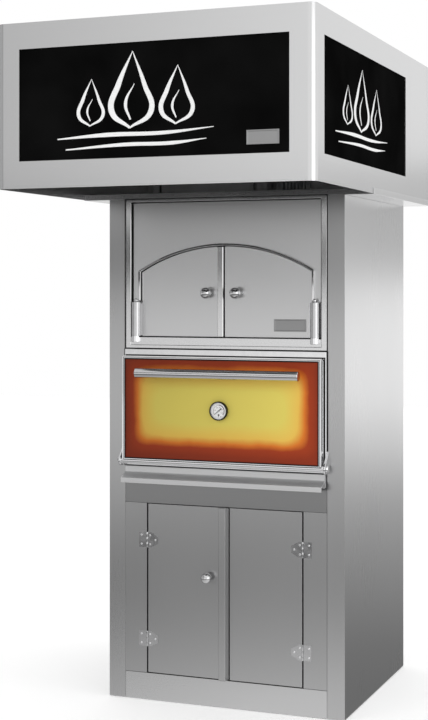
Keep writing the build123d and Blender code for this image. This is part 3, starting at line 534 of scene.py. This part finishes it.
fibre, nodes, links, shader = new_finish("ceramic_fibre")
tufts = grain(nodes, links, (220.0, 90.0, 220.0), 6.0)
fibre_tones = [(0.3, (0.70, 0.67, 0.60)), (0.7, (0.90, 0.88, 0.83))]
links.new(tones(nodes, links, tufts, fibre_tones), shader.inputs["Base Color"])
shader.inputs["Roughness"].default_value = 0.95
relief(nodes, links, shader, tufts, 0.6, 0.002)
dress(fibre, "oven_insulation")


def sooted(name, clean, soot, metal, rough):
    """Steel that fire has darkened: soot in clouds, with bare patches between."""
    finish, nodes, links, shader = new_finish(name)
    patches = grain(nodes, links, (7.0, 7.0, 9.0), 6.0)
    grit = grain(nodes, links, (260.0, 260.0, 260.0), 4.0)
    colours = [(0.35, soot), (0.52, clean), (0.7, tuple(c * 0.8 for c in clean))]
    links.new(tones(nodes, links, patches, colours), shader.inputs["Base Color"])
    shader.inputs["Metallic"].default_value = metal
    links.new(spread(nodes, links, grit, rough - 0.12, rough + 0.1), shader.inputs["Roughness"])
    relief(nodes, links, shader, grit, 0.35, 0.0006)
    return finish


burnt_steel = sooted("burnt_steel", (0.20, 0.165, 0.14), (0.03, 0.027, 0.025), 0.7, 0.55)
seasoned_iron = sooted("seasoned_iron", (0.07, 0.066, 0.062), (0.025, 0.024, 0.023), 0.5, 0.6)
dress(burnt_steel, "oven_firebox", "oven_door_liner")
dress(seasoned_iron, "charcoal_grate", "cooking_grid")

# The front frame, the triangular lugs, the door's rim and the pivot shaft are polished.
# The shaft lies along the door's lower edge and turns in the lugs.
trim_edge = 0.0022
# Painted shade: this polished steel is darker than the screws'.
trim_steel_painted_shade = polished("trim_steel_painted_shade", 0.74, 0.07)
dress(trim_steel_painted_shade, "oven_front_frame", "oven_door_rim", "door_hinge_lugs")
soften_edges(trim_edge, "oven_front_frame", "oven_door_rim", "door_hinge_lugs")
dress(chrome, "door_pivot_shaft")

# The door's panel is lacquered in a burst: yellow in the middle, orange near the edge
# and dark red-brown along the border, under a clear coat.
panel_low, panel_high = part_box("oven_door_panel")
panel_middle = (panel_low + panel_high) / 2
half_width = (panel_high.x - panel_low.x) / 2
half_height = (panel_high.z - panel_low.z) / 2
lacquer, nodes, links, shader = new_finish("sunburst_lacquer")
place = nodes.new("ShaderNodeTexCoord")
centred = nodes.new("ShaderNodeMapping")
centred.inputs["Location"].default_value = (-panel_middle.x, -panel_middle.y, -panel_middle.z)
links.new(place.outputs["Object"], centred.inputs["Vector"])
axes = nodes.new("ShaderNodeSeparateXYZ")
links.new(centred.outputs[0], axes.inputs[0])

burst_rise = 0.014
burst_depth = 0.145
corner_rounding = 0.09
wander_size = 0.02
aside = calculate(nodes, links, "ABSOLUTE", axes.outputs["X"])
from_side = calculate(nodes, links, "SUBTRACT", half_width, aside)
above_burst = calculate(nodes, links, "SUBTRACT", axes.outputs["Z"], burst_rise)
up_or_down = calculate(nodes, links, "ABSOLUTE", above_burst)
from_edge = calculate(nodes, links, "SUBTRACT", half_height, up_or_down)
inwards = calculate(nodes, links, "SMOOTH_MIN", from_side, from_edge, corner_rounding)
mist = grain(nodes, links, (9.0, 9.0, 9.0))
mist_about_zero = calculate(nodes, links, "SUBTRACT", mist, 0.5)
wander = calculate(nodes, links, "MULTIPLY", mist_about_zero, wander_size)
depth = calculate(nodes, links, "ADD", inwards, wander)
reach = calculate(nodes, links, "DIVIDE", depth, burst_depth)
burst = [
    (0.0, (0.21, 0.026, 0.008)),
    (0.22, (0.29, 0.036, 0.008)),
    (0.34, (0.56, 0.15, 0.018)),
    (0.50, (0.66, 0.42, 0.075)),
    (0.85, (0.62, 0.52, 0.105)),
]
burst_colour = tones(nodes, links, reach, burst)
# Painted light: the burst is lifted lighter towards the right.
painted_light_lift = nodes.new("ShaderNodeHueSaturation")
links.new(burst_colour, painted_light_lift.inputs["Color"])
painted_light_to_right = calculate(nodes, links, "MULTIPLY_ADD", axes.outputs["X"], 0.75, 1.07)
links.new(painted_light_to_right, painted_light_lift.inputs["Value"])
links.new(painted_light_lift.outputs["Color"], shader.inputs["Base Color"])
shader.inputs["Roughness"].default_value = 0.45
shader.inputs["Specular IOR Level"].default_value = 0.1
shader.inputs["Coat Weight"].default_value = 0.06
shader.inputs["Coat Roughness"].default_value = 0.12
grit = grain(nodes, links, (700.0, 700.0, 700.0), 2.0)
relief(nodes, links, shader, grit, 0.05, 0.0002)
dress(lacquer, "oven_door_panel")

# A flat braided rope of glass fibre lies round the door's plug and seals it against the
# frame. It is glued to the liner, and shows when the door is open.
seal_rope, nodes, links, shader = new_finish("seal_rope")
braid = nodes.new("ShaderNodeTexWave")
braid.inputs["Scale"].default_value = 90.0
braid.inputs["Distortion"].default_value = 3.0
braid_place = nodes.new("ShaderNodeTexCoord")
links.new(braid_place.outputs["Object"], braid.inputs["Vector"])
rope_tones = [(0.2, (0.05, 0.048, 0.045)), (0.8, (0.20, 0.19, 0.18))]
links.new(tones(nodes, links, braid.outputs["Fac"], rope_tones), shader.inputs["Base Color"])
shader.inputs["Roughness"].default_value = 0.9
relief(nodes, links, shader, braid.outputs["Fac"], 0.5, 0.001)


def flat_ring(name, low, high, start, width, depth, edge):
    """A rectangular ring between two corners, drawn X by Z and pulled along Y from a start."""
    middle = (Vector(low) + Vector(high)) / 2
    half = (Vector(high) - Vector(low)) / 2
    bpy.ops.object.select_all(action="DESELECT")
    bpy.ops.mesh.primitive_plane_add(size=2, rotation=(pi / 2, 0, 0))
    ring = bpy.context.object
    ring.name = name
    bpy.ops.object.transform_apply()
    place = Matrix.Translation((middle.x, start, middle.y))
    ring.data.transform(place @ Matrix.Diagonal((half.x, 1, half.y, 1)))
    bpy.ops.object.mode_set(mode="EDIT")
    bpy.ops.mesh.select_all(action="SELECT")
    bpy.ops.mesh.inset(thickness=width)
    bpy.ops.mesh.delete(type="ONLY_FACE")
    bpy.ops.mesh.select_all(action="SELECT")
    bpy.ops.mesh.extrude_region_move(TRANSFORM_OT_translate={"value": (0, depth, 0)})
    bpy.ops.mesh.select_all(action="SELECT")
    bpy.ops.mesh.normals_make_consistent(inside=False)
    bpy.ops.object.mode_set(mode="OBJECT")
    rounding = ring.modifiers.new("rounding", "BEVEL")
    rounding.width = edge
    rounding.segments = 2
    bpy.ops.object.modifier_apply(modifier="rounding")
    return ring


def grown(box, aside, below, above):
    """The two corners of a box, drawn X by Z and moved outwards."""
    low, high = box
    return (low.x - aside, low.z - below), (high.x + aside, high.z + above)


frame_low, frame_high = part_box("oven_front_frame")
seal_width = 0.012
seal_overhang = 0.008
seal_edge = 0.0006
seal_back = frame_low.y - 0.0001
seal_front = frame_low.y - 0.002
seal_low, seal_high = grown(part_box("oven_firebox"), seal_overhang, seal_overhang, seal_overhang)
seal_depth = seal_front - seal_back
seal = flat_ring("door_rope_seal", seal_low, seal_high, seal_back, seal_width, seal_depth, seal_edge)
seal.data.materials.append(seal_rope)
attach(seal, "oven_door")

# The door's handle is a wide stainless tube with a satin finish and closed ends. It stands
# on two short posts, which are fixed through the door.
satin, nodes, links, shader = new_finish("satin_tube")
shader.inputs["Metallic"].default_value = 1.0
lines = grain(nodes, links, (7.0, 1100.0, 1100.0))
satin_tones = [(0.3, (0.60, 0.60, 0.61)), (0.7, (0.66, 0.66, 0.67))]
links.new(tones(nodes, links, lines, satin_tones), shader.inputs["Base Color"])
links.new(spread(nodes, links, lines, 0.09, 0.13), shader.inputs["Roughness"])
dress(satin, "door_handle")

# The thermometer: a black enamelled case, a white dial behind a glass, and a black
# needle. The dial carries a printed scale with plain numbers.
enamel, nodes, links, shader = new_finish("black_enamel")
peel = grain(nodes, links, (400.0, 400.0, 400.0), 2.0)
enamel_tones = [(0.3, (0.004, 0.004, 0.004)), (0.7, (0.008, 0.008, 0.008))]
links.new(tones(nodes, links, peel, enamel_tones), shader.inputs["Base Color"])
shader.inputs["Roughness"].default_value = 0.35
shader.inputs["Specular IOR Level"].default_value = 0.15
relief(nodes, links, shader, peel, 0.05, 0.0002)
dress(enamel, "thermometer_case", "thermometer_needle")

dial_paint, nodes, links, shader = new_finish("dial_paint")
speck = grain(nodes, links, (500.0, 500.0, 500.0), 2.0)
dial_tones = [(0.3, (0.86, 0.86, 0.85)), (0.7, (0.92, 0.92, 0.91))]
links.new(tones(nodes, links, speck, dial_tones), shader.inputs["Base Color"])
shader.inputs["Roughness"].default_value = 0.6
dress(dial_paint, "thermometer_dial")

clear_glass, nodes, links, shader = new_finish("clear_glass")
shader.inputs["Alpha"].default_value = 0.08
smears = grain(nodes, links, (30.0, 30.0, 30.0))
links.new(spread(nodes, links, smears, 0.0, 0.04), shader.inputs["Roughness"])
shader.inputs["Base Color"].default_value = (1.0, 1.0, 1.0, 1)
dress(clear_glass, "thermometer_glass")

case_low, case_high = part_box("thermometer_case")
dial_level = (case_low.z + case_high.z) / 2
needle_clearance = 0.0005
print_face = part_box("thermometer_needle")[1].y + needle_clearance
ink_thickness = 0.0002
scale_radius = 0.0205
thin_arc = 0.0009
wide_arc = 0.0030
arc_pieces = 52
arc_overlap = 1.02
tick_count = 26
ticks_to_number = 5
degrees_to_tick = 20
long_tick = (0.0030, 0.0008)
short_tick = (0.0016, 0.0005)
number_height = 0.0046
number_inset = 0.0065
cold_turn = radians(220)
hot_turn = radians(-40)

ink, nodes, links, shader = new_finish("dial_ink")
pale = grain(nodes, links, (900.0, 900.0, 900.0), 2.0)
ink_tones = [(0.3, (0.10, 0.06, 0.09)), (0.7, (0.17, 0.11, 0.14))]
links.new(tones(nodes, links, pale, ink_tones), shader.inputs["Base Color"])
shader.inputs["Roughness"].default_value = 0.7


def dial_point(radius, turn):
    """A place on the printed face, at a radius and a turn from the right."""
    return Vector((radius * cos(turn), print_face, dial_level + radius * sin(turn)))


def scale_turn(ticks):
    """How far round the scale a number of ticks is."""
    return cold_turn + (hot_turn - cold_turn) * ticks / tick_count


def ink_bar(inner, outer, width, turn):
    """A short printed line that points at the dial's centre."""
    size = (outer - inner, ink_thickness, width)
    return block(size, dial_point((inner + outer) / 2, turn), (0, -turn, 0))


marks = []
for i in range(tick_count + 1):
    length, width = short_tick if i % ticks_to_number else long_tick
    marks.append(ink_bar(scale_radius - length, scale_radius, width, scale_turn(i)))
arc_step = (hot_turn - cold_turn) / arc_pieces
for i in range(arc_pieces):
    turn = cold_turn + arc_step * (i + 0.5)
    width = thin_arc if turn > pi / 2 else wide_arc
    arc_length = abs(arc_step) * (scale_radius + width) * arc_overlap
    marks.append(ink_bar(scale_radius, scale_radius + width, arc_length, turn))
for i in range(0, tick_count, ticks_to_number):
    bpy.ops.object.select_all(action="DESELECT")
    bpy.ops.object.text_add()
    number = bpy.context.object
    number.data.body = str(degrees_to_tick * i)
    number.data.size = number_height
    number.data.align_x = "CENTER"
    number.data.align_y = "CENTER"
    number.data.extrude = ink_thickness / 2
    bpy.ops.object.convert(target="MESH")
    number = bpy.context.object
    spot = dial_point(scale_radius - number_inset, scale_turn(i))
    number.data.transform(Matrix.Translation(spot) @ Matrix.Rotation(pi / 2, 4, "X"))
    marks.append(number)
dial_print = joined("dial_print", marks)
dial_print.data.materials.clear()
dial_print.data.materials.append(ink)
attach(dial_print, "oven_door")

# Below the dial's centre are three plain printed dots, a large one and two small ones, in
# the same black as the needle.
dots = []
dot_places = [(0.0036, 0.0, 0.0150), (0.0018, 0.0, 0.0216), (0.0016, 0.0090, 0.0210)]
for radius, across, down in dot_places:
    bpy.ops.object.select_all(action="DESELECT")
    bpy.ops.mesh.primitive_cylinder_add(vertices=24, radius=radius, depth=ink_thickness)
    dot = bpy.context.object
    spot = (across, print_face, dial_level - down)
    dot.data.transform(Matrix.Translation(spot) @ Matrix.Rotation(pi / 2, 4, "X"))
    dots.append(dot)
dial_dots = joined("dial_dots", dots)
dial_dots.data.materials.append(enamel)
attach(dial_dots, "oven_door")

# The ash drawer has a front folded from matt stainless sheet, with a sloping apron to pull
# it by. Its pan is plain mill sheet, and slides on two runners.
# Painted light: the drawer front's steel is much lighter than the column's.
drawer_grain_painted_light = brushed_sheet("brushed_drawer_painted_light", (long, fine, fine), 0.78, 0.45)
dress(drawer_grain_painted_light, "ash_drawer_front")
soften_edges(sheet_edge, "ash_drawer_front")
dress(mill_steel, "ash_drawer_pan", "ash_drawer_runners")

# The warming cabinet: a surround and a face of brushed sheet, a sill, two arched doors
# and a strip on the left one. The case inside is plain.
# Painted light: the warming cabinet's steel is lighter than the column's.
cabinet_grain_painted_light = brushed_sheet("brushed_cabinet_painted_light", (fine, fine, long), 0.7, 0.31)
bright_grain_painted_light = brushed_sheet("brushed_bright_painted_light", (long, fine, fine), 0.7, 0.2)
dress(cabinet_grain_painted_light, "warm_face", "warm_door_left", "warm_door_right")
dress(bright_grain_painted_light, "warm_surround", "warm_sill", "warm_door_strip")
surround_edge = 0.0025
strip_edge = 0.003
soften_edges(surround_edge, "warm_surround")
soften_edges(sheet_edge, "warm_sill", "warm_door_left", "warm_door_right")
soften_edges(strip_edge, "warm_door_strip")
dress(mill_steel, "warm_case", "warm_shelf")

# Thin black beads and lines lie in the joints as sealant, and paint the shade of the gaps there:
# round the recess and the surround of the warming cabinet, round the oven's frame and its door,
# and round the lacquered panel.
gap_shade_black, nodes, links, shader = new_finish("black_sealant_painted_shade")
skin = grain(nodes, links, (300.0, 300.0, 300.0))
gap_shade_tones = greys([(0.3, 0.008), (0.7, 0.018)])
links.new(tones(nodes, links, skin, gap_shade_tones), shader.inputs["Base Color"])
shader.inputs["Roughness"].default_value = 0.6
shader.inputs["Specular IOR Level"].default_value = 0.1
relief(nodes, links, shader, skin, 0.2, 0.0003)

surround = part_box("warm_surround")
sill_low, sill_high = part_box("warm_sill")
recess = (Vector((sill_low.x, 0, sill_high.z)), Vector((sill_high.x, 0, surround[1].z)))
recess_corners = grown(recess, 0.0002, 0, -0.010)
frame_corners = grown((frame_low, frame_high), 0.0042, 0.0022, 0.0022)
panel_corners = grown((panel_low, panel_high), 0.0045, 0.0045, 0.0045)
surround_corners = grown(surround, 0.003, 0.003, 0.003)
line_corners = grown((panel_low, panel_high), 0.0088, 0.0088, 0.0088)
door_corners = grown(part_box("oven_door_rim"), 0.0036, -0.012, 0.0036)
face_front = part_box("warm_face")[0].y
rim_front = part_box("oven_door_rim")[0].y
# Each bead has a body, two corners, the place of its front, a width and a depth.
beads = [
    ("recess_bead", "cabinet", recess_corners, face_front - 0.0045, 0.0042, 0.0044),
    ("frame_bead", "cabinet", frame_corners, column_front - 0.0042, 0.0041, 0.0041),
    ("panel_bead", "oven_door", panel_corners, rim_front - 0.0006, 0.0048, 0.0006),
    ("surround_bead", "cabinet", surround_corners, column_front - 0.003, 0.003, 0.0029),
    ("rim_line", "oven_door", line_corners, rim_front - 0.0004, 0.0018, 0.0004),
    ("door_line", "cabinet", door_corners, frame_low.y - 0.0012, 0.0042, 0.0011),
]
for name, body, (low, high), front, width, depth in beads:
    bead = flat_ring(name, low, high, front, width, depth, width / 3)
    bead.data.materials.append(gap_shade_black)
    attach(bead, body)

# A polished trim follows the arch. Each warming door swings on a bright barrel, which
# turns on a pin that stands on the sill and ends in a small ball.
arch_edge = 0.0035
dress(trim_steel_painted_shade, "arch_trim")
soften_edges(arch_edge, "arch_trim")
# Painted shade: the barrels' polished steel is darker than the screws'.
barrel_steel_painted_shade = polished("barrel_steel_painted_shade", 0.55, 0.14)
dress(barrel_steel_painted_shade, "left_hinge_barrel", "right_hinge_barrel")

pins_low, pins_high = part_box("barrel_hinge_pins")
barrel_low, barrel_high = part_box("right_hinge_barrel")
foot_radius = 0.017
foot_chamfer = 0.001
pin_radius = 0.008
finial_radius = 0.0072
finial_steps = 12
neck_turn = radians(30)
pin_line = pins_high.x - foot_radius
pin_depth = pins_high.y - foot_radius
foot_top = barrel_low.z - 0.0005
ball_centre = pins_high.z - finial_radius
pin_profile = [
    (0.0, pins_low.z),
    (foot_radius - foot_chamfer, pins_low.z),
    (foot_radius, pins_low.z + foot_chamfer),
    (foot_radius, foot_top),
    (pin_radius, foot_top),
    (pin_radius, barrel_high.z),
    (foot_radius - 0.004, barrel_high.z + 0.0003),
    (foot_radius - 0.006, barrel_high.z + 0.0016),
    (0.0035, barrel_high.z + 0.0022),
]
for i in range(1, finial_steps):
    turn = neck_turn + (pi - neck_turn) * i / finial_steps
    pin_profile.append((finial_radius * sin(turn), ball_centre - finial_radius * cos(turn)))
pin_profile.append((0.0, pins_high.z))

# Behind the sill's front edge the foot of each pin is notched, so that it sits on the sill.
notch = 0.1
pins = []
for side in (-1, 1):
    pin = turned("pin", pin_profile, (side * pin_line, pin_depth, 0), (0, 0, 1))
    middle = (side * pin_line, sill_low.y + notch / 2, sill_high.z - notch / 2)
    cut_away(pin, block((notch, notch, notch), middle))
    pins.append(pin)
hinge_pins = joined("hinge_pins_turned", pins)
smooth(hinge_pins)
hinge_pins.data.materials.append(chrome)
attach(hinge_pins, "cabinet")
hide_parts("barrel_hinge_pins")


# Two bare name plates of satin metal with a raised border: one on the right-hand warming
# door and one in the corner of the front sign.
plate_metal = brushed_sheet("plate_metal", (12.0, fine, fine), 0.36, 0.32)
plate_thickness = 0.002
plate_border = 0.004


def name_plate(name, body, centre, width, height):
    """A plate that faces the cook, with its field set back inside a border."""
    middle = Vector(centre) - Vector((0, plate_thickness / 2, 0))
    plate = block((width, plate_thickness, height), middle)
    plate.name = name
    bpy.ops.object.mode_set(mode="EDIT")
    bpy.ops.mesh.select_all(action="DESELECT")
    bpy.ops.object.mode_set(mode="OBJECT")
    for face in plate.data.polygons:
        face.select = face.normal.y < -0.9
    bpy.ops.object.mode_set(mode="EDIT")
    bpy.ops.mesh.inset(thickness=plate_border)
    bpy.ops.mesh.inset(thickness=plate_border / 4, depth=-plate_thickness / 3)
    bpy.ops.object.mode_set(mode="OBJECT")
    soften = plate.modifiers.new("soften", "BEVEL")
    soften.width = plate_thickness / 6
    soften.segments = 2
    bpy.ops.object.modifier_apply(modifier="soften")
    plate.data.materials.append(plate_metal)
    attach(plate, body)


door_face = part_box("warm_door_right")[0].y
name_plate("door_name_plate", "warm_right", (0.2555, door_face, 1.429), width=0.125, height=0.046)

# The hood: brushed sheet all round, in a shallow tray on top of the column. Inside it a
# plenum wall carries two slotted grease filters.
# Painted light: the hood's steel is lighter, and the plenum and filters in its shade much lighter.
hood_grain_painted_light = brushed_sheet("brushed_hood", (fine, long, fine), 0.6, 0.24)
dress(hood_grain_painted_light, "hood_left_panel", "hood_right_panel", "hood_top_panel")
hood_front_grain_painted_light = brushed_sheet("brushed_hood_front_painted_light", (long, fine, fine), 0.66, 0.2)
dress(hood_front_grain_painted_light, "hood_front_panel", "hood_back_panel", "hood_tray")
soften_edges(sheet_edge, "hood_tray", "hood_right_panel")
plenum_grain_painted_light = brushed_sheet("brushed_plenum_painted_light", (fine, fine, long), 0.88, 0.75)
dress(plenum_grain_painted_light, "plenum_panel")
filter_steel_painted_light = mill_sheet("filter_steel_painted_light", 0.8, 0.6)
dress(filter_steel_painted_light, "grease_filters")

# The duct is pushed over a spigot of mill-finish sheet. Eight dome rivets of stainless
# steel hold the spigot's flange to the top of the hood.
dress(mill_steel, "duct_spigot")
spigot_low, spigot_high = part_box("duct_spigot")
flange_radius = (spigot_high.x - spigot_low.x) / 2
rivet_inset = 0.009
rivet_circle = flange_radius - rivet_inset
spigot_middle = (spigot_low + spigot_high) / 2
flange_thickness = 0.002
flange_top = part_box("hood_top_panel")[1].z + flange_thickness
rivet_count = 8
rivet_places = []
for i in range(rivet_count):
    turn = 2 * pi * (i + 0.5) / rivet_count
    across = Vector((rivet_circle * cos(turn), rivet_circle * sin(turn), 0))
    rivet_places.append(Vector((spigot_middle.x, spigot_middle.y, flange_top)) + across)
upwards = [Euler((-pi / 2, 0, 0))] * rivet_count
rivets = set_of(head, "spigot_rivets", rivet_places, upwards)
rivets.data.materials.append(hinge_steel_painted_shade)
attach(rivets, "cabinet")

# The signs are gloss black sheet set back in their windows. Each carries a painted
# motif of three flames over a grill, in white brush strokes.
gloss_black, nodes, links, shader = new_finish("gloss_black")
ripple = grain(nodes, links, (5.0, 5.0, 5.0), 2.0)
black_tones = [(0.3, (0.003, 0.003, 0.003)), (0.7, (0.006, 0.006, 0.006))]
links.new(tones(nodes, links, ripple, black_tones), shader.inputs["Base Color"])
shader.inputs["Roughness"].default_value = 0.4
shader.inputs["Specular IOR Level"].default_value = 0.0
relief(nodes, links, shader, ripple, 0.02, 0.0005)
dress(gloss_black, "sign_panels")

sign_paint, nodes, links, shader = new_finish("sign_paint")
bristles = grain(nodes, links, (60.0, 60.0, 900.0))
paint_tones = [(0.25, (0.80, 0.80, 0.80)), (0.6, (0.93, 0.93, 0.93))]
links.new(tones(nodes, links, bristles, paint_tones), shader.inputs["Base Color"])
shader.inputs["Roughness"].default_value = 0.5
relief(nodes, links, shader, bristles, 0.1, 0.0003)

# Each stroke runs through its points, across and up from the sign's middle, and has a
# width at each, so that it swells and tapers as a loaded brush does.
flame_strokes = [
    [(-0.02, -0.085, 0.004), (-0.085, -0.030, 0.011), (-0.060, 0.050, 0.010), (-0.010, 0.150, 0.001)],
    [(-0.02, -0.085, 0.003), (0.055, -0.035, 0.010), (0.032, 0.045, 0.008), (-0.010, 0.150, 0.001)],
    [(-0.018, -0.060, 0.003), (-0.035, -0.010, 0.006), (-0.004, 0.050, 0.001)],
]
flames = [(-0.17, -0.022, 0.62), (-0.02, 0.0, 1.0), (0.135, -0.014, 0.76)]
bar_strokes = [
    [(-0.300, -0.112, 0.002), (-0.120, -0.104, 0.007), (0.080, -0.104, 0.006), (0.250, -0.092, 0.001)],
    [(-0.270, -0.146, 0.002), (-0.060, -0.136, 0.006), (0.110, -0.136, 0.006), (0.225, -0.126, 0.001)],
]
drawn_width = 0.55
drawn_height = 0.30
paint_thickness = 0.0006
round_depth = 0.004


def brush_stroke(points):
    """A painted line that swells and tapers, as a rounded strip drawn X by Z."""
    bpy.ops.object.select_all(action="DESELECT")
    bpy.ops.curve.primitive_bezier_curve_add()
    stroke = bpy.context.object
    line = stroke.data.splines[0]
    line.bezier_points.add(len(points) - len(line.bezier_points))
    for knot, (across, up, width) in zip(line.bezier_points, points):
        knot.co = (across, 0, up)
        knot.radius = width
        knot.handle_left_type = "AUTO"
        knot.handle_right_type = "AUTO"
    stroke.data.bevel_depth = 1.0
    stroke.data.bevel_resolution = 3
    stroke.data.use_fill_caps = True
    line.resolution_u = 14
    bpy.ops.object.convert(target="MESH")
    return bpy.context.object


def sign_motif(name, matrix, width, height):
    """The whole motif, fitted to a width and height, flattened and set on a sign."""
    strokes = []
    for across, up, size in flames:
        for points in flame_strokes:
            sized = [(across + x * size, up + z * size, thick * size) for x, z, thick in points]
            strokes.append(brush_stroke(sized))
    strokes += [brush_stroke(points) for points in bar_strokes]
    wide = width / drawn_width
    high = height / drawn_height
    for stroke in strokes:
        for vertex in stroke.data.vertices:
            flat = max(-1, min(1, vertex.co.y / round_depth)) * paint_thickness / 2
            vertex.co = (vertex.co.x * wide, flat, vertex.co.z * high)
    motif = joined(name, strokes)
    motif.data.transform(matrix)
    motif.data.materials.append(sign_paint)
    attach(motif, "cabinet")


signs_low, signs_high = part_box("sign_panels")
sign_level = (signs_low.z + signs_high.z) / 2
front_place = Matrix.Translation((-0.032, signs_low.y - paint_thickness / 2, sign_level))
sign_motif("front_sign_motif", front_place, width=0.57, height=0.325)
side_spot = (signs_high.x + paint_thickness / 2, column_front - 0.090, sign_level)
side_place = Matrix.Translation(side_spot) @ Matrix.Rotation(pi / 2, 4, "Z")
sign_motif("side_sign_motif", side_place, width=0.66, height=0.28)
name_plate("sign_name_plate", "cabinet", (0.397, signs_low.y, 2.0525), width=0.112, height=0.047)

# The screw and rivet head that the sets were copied from is put away.
bpy.data.objects.remove(head)
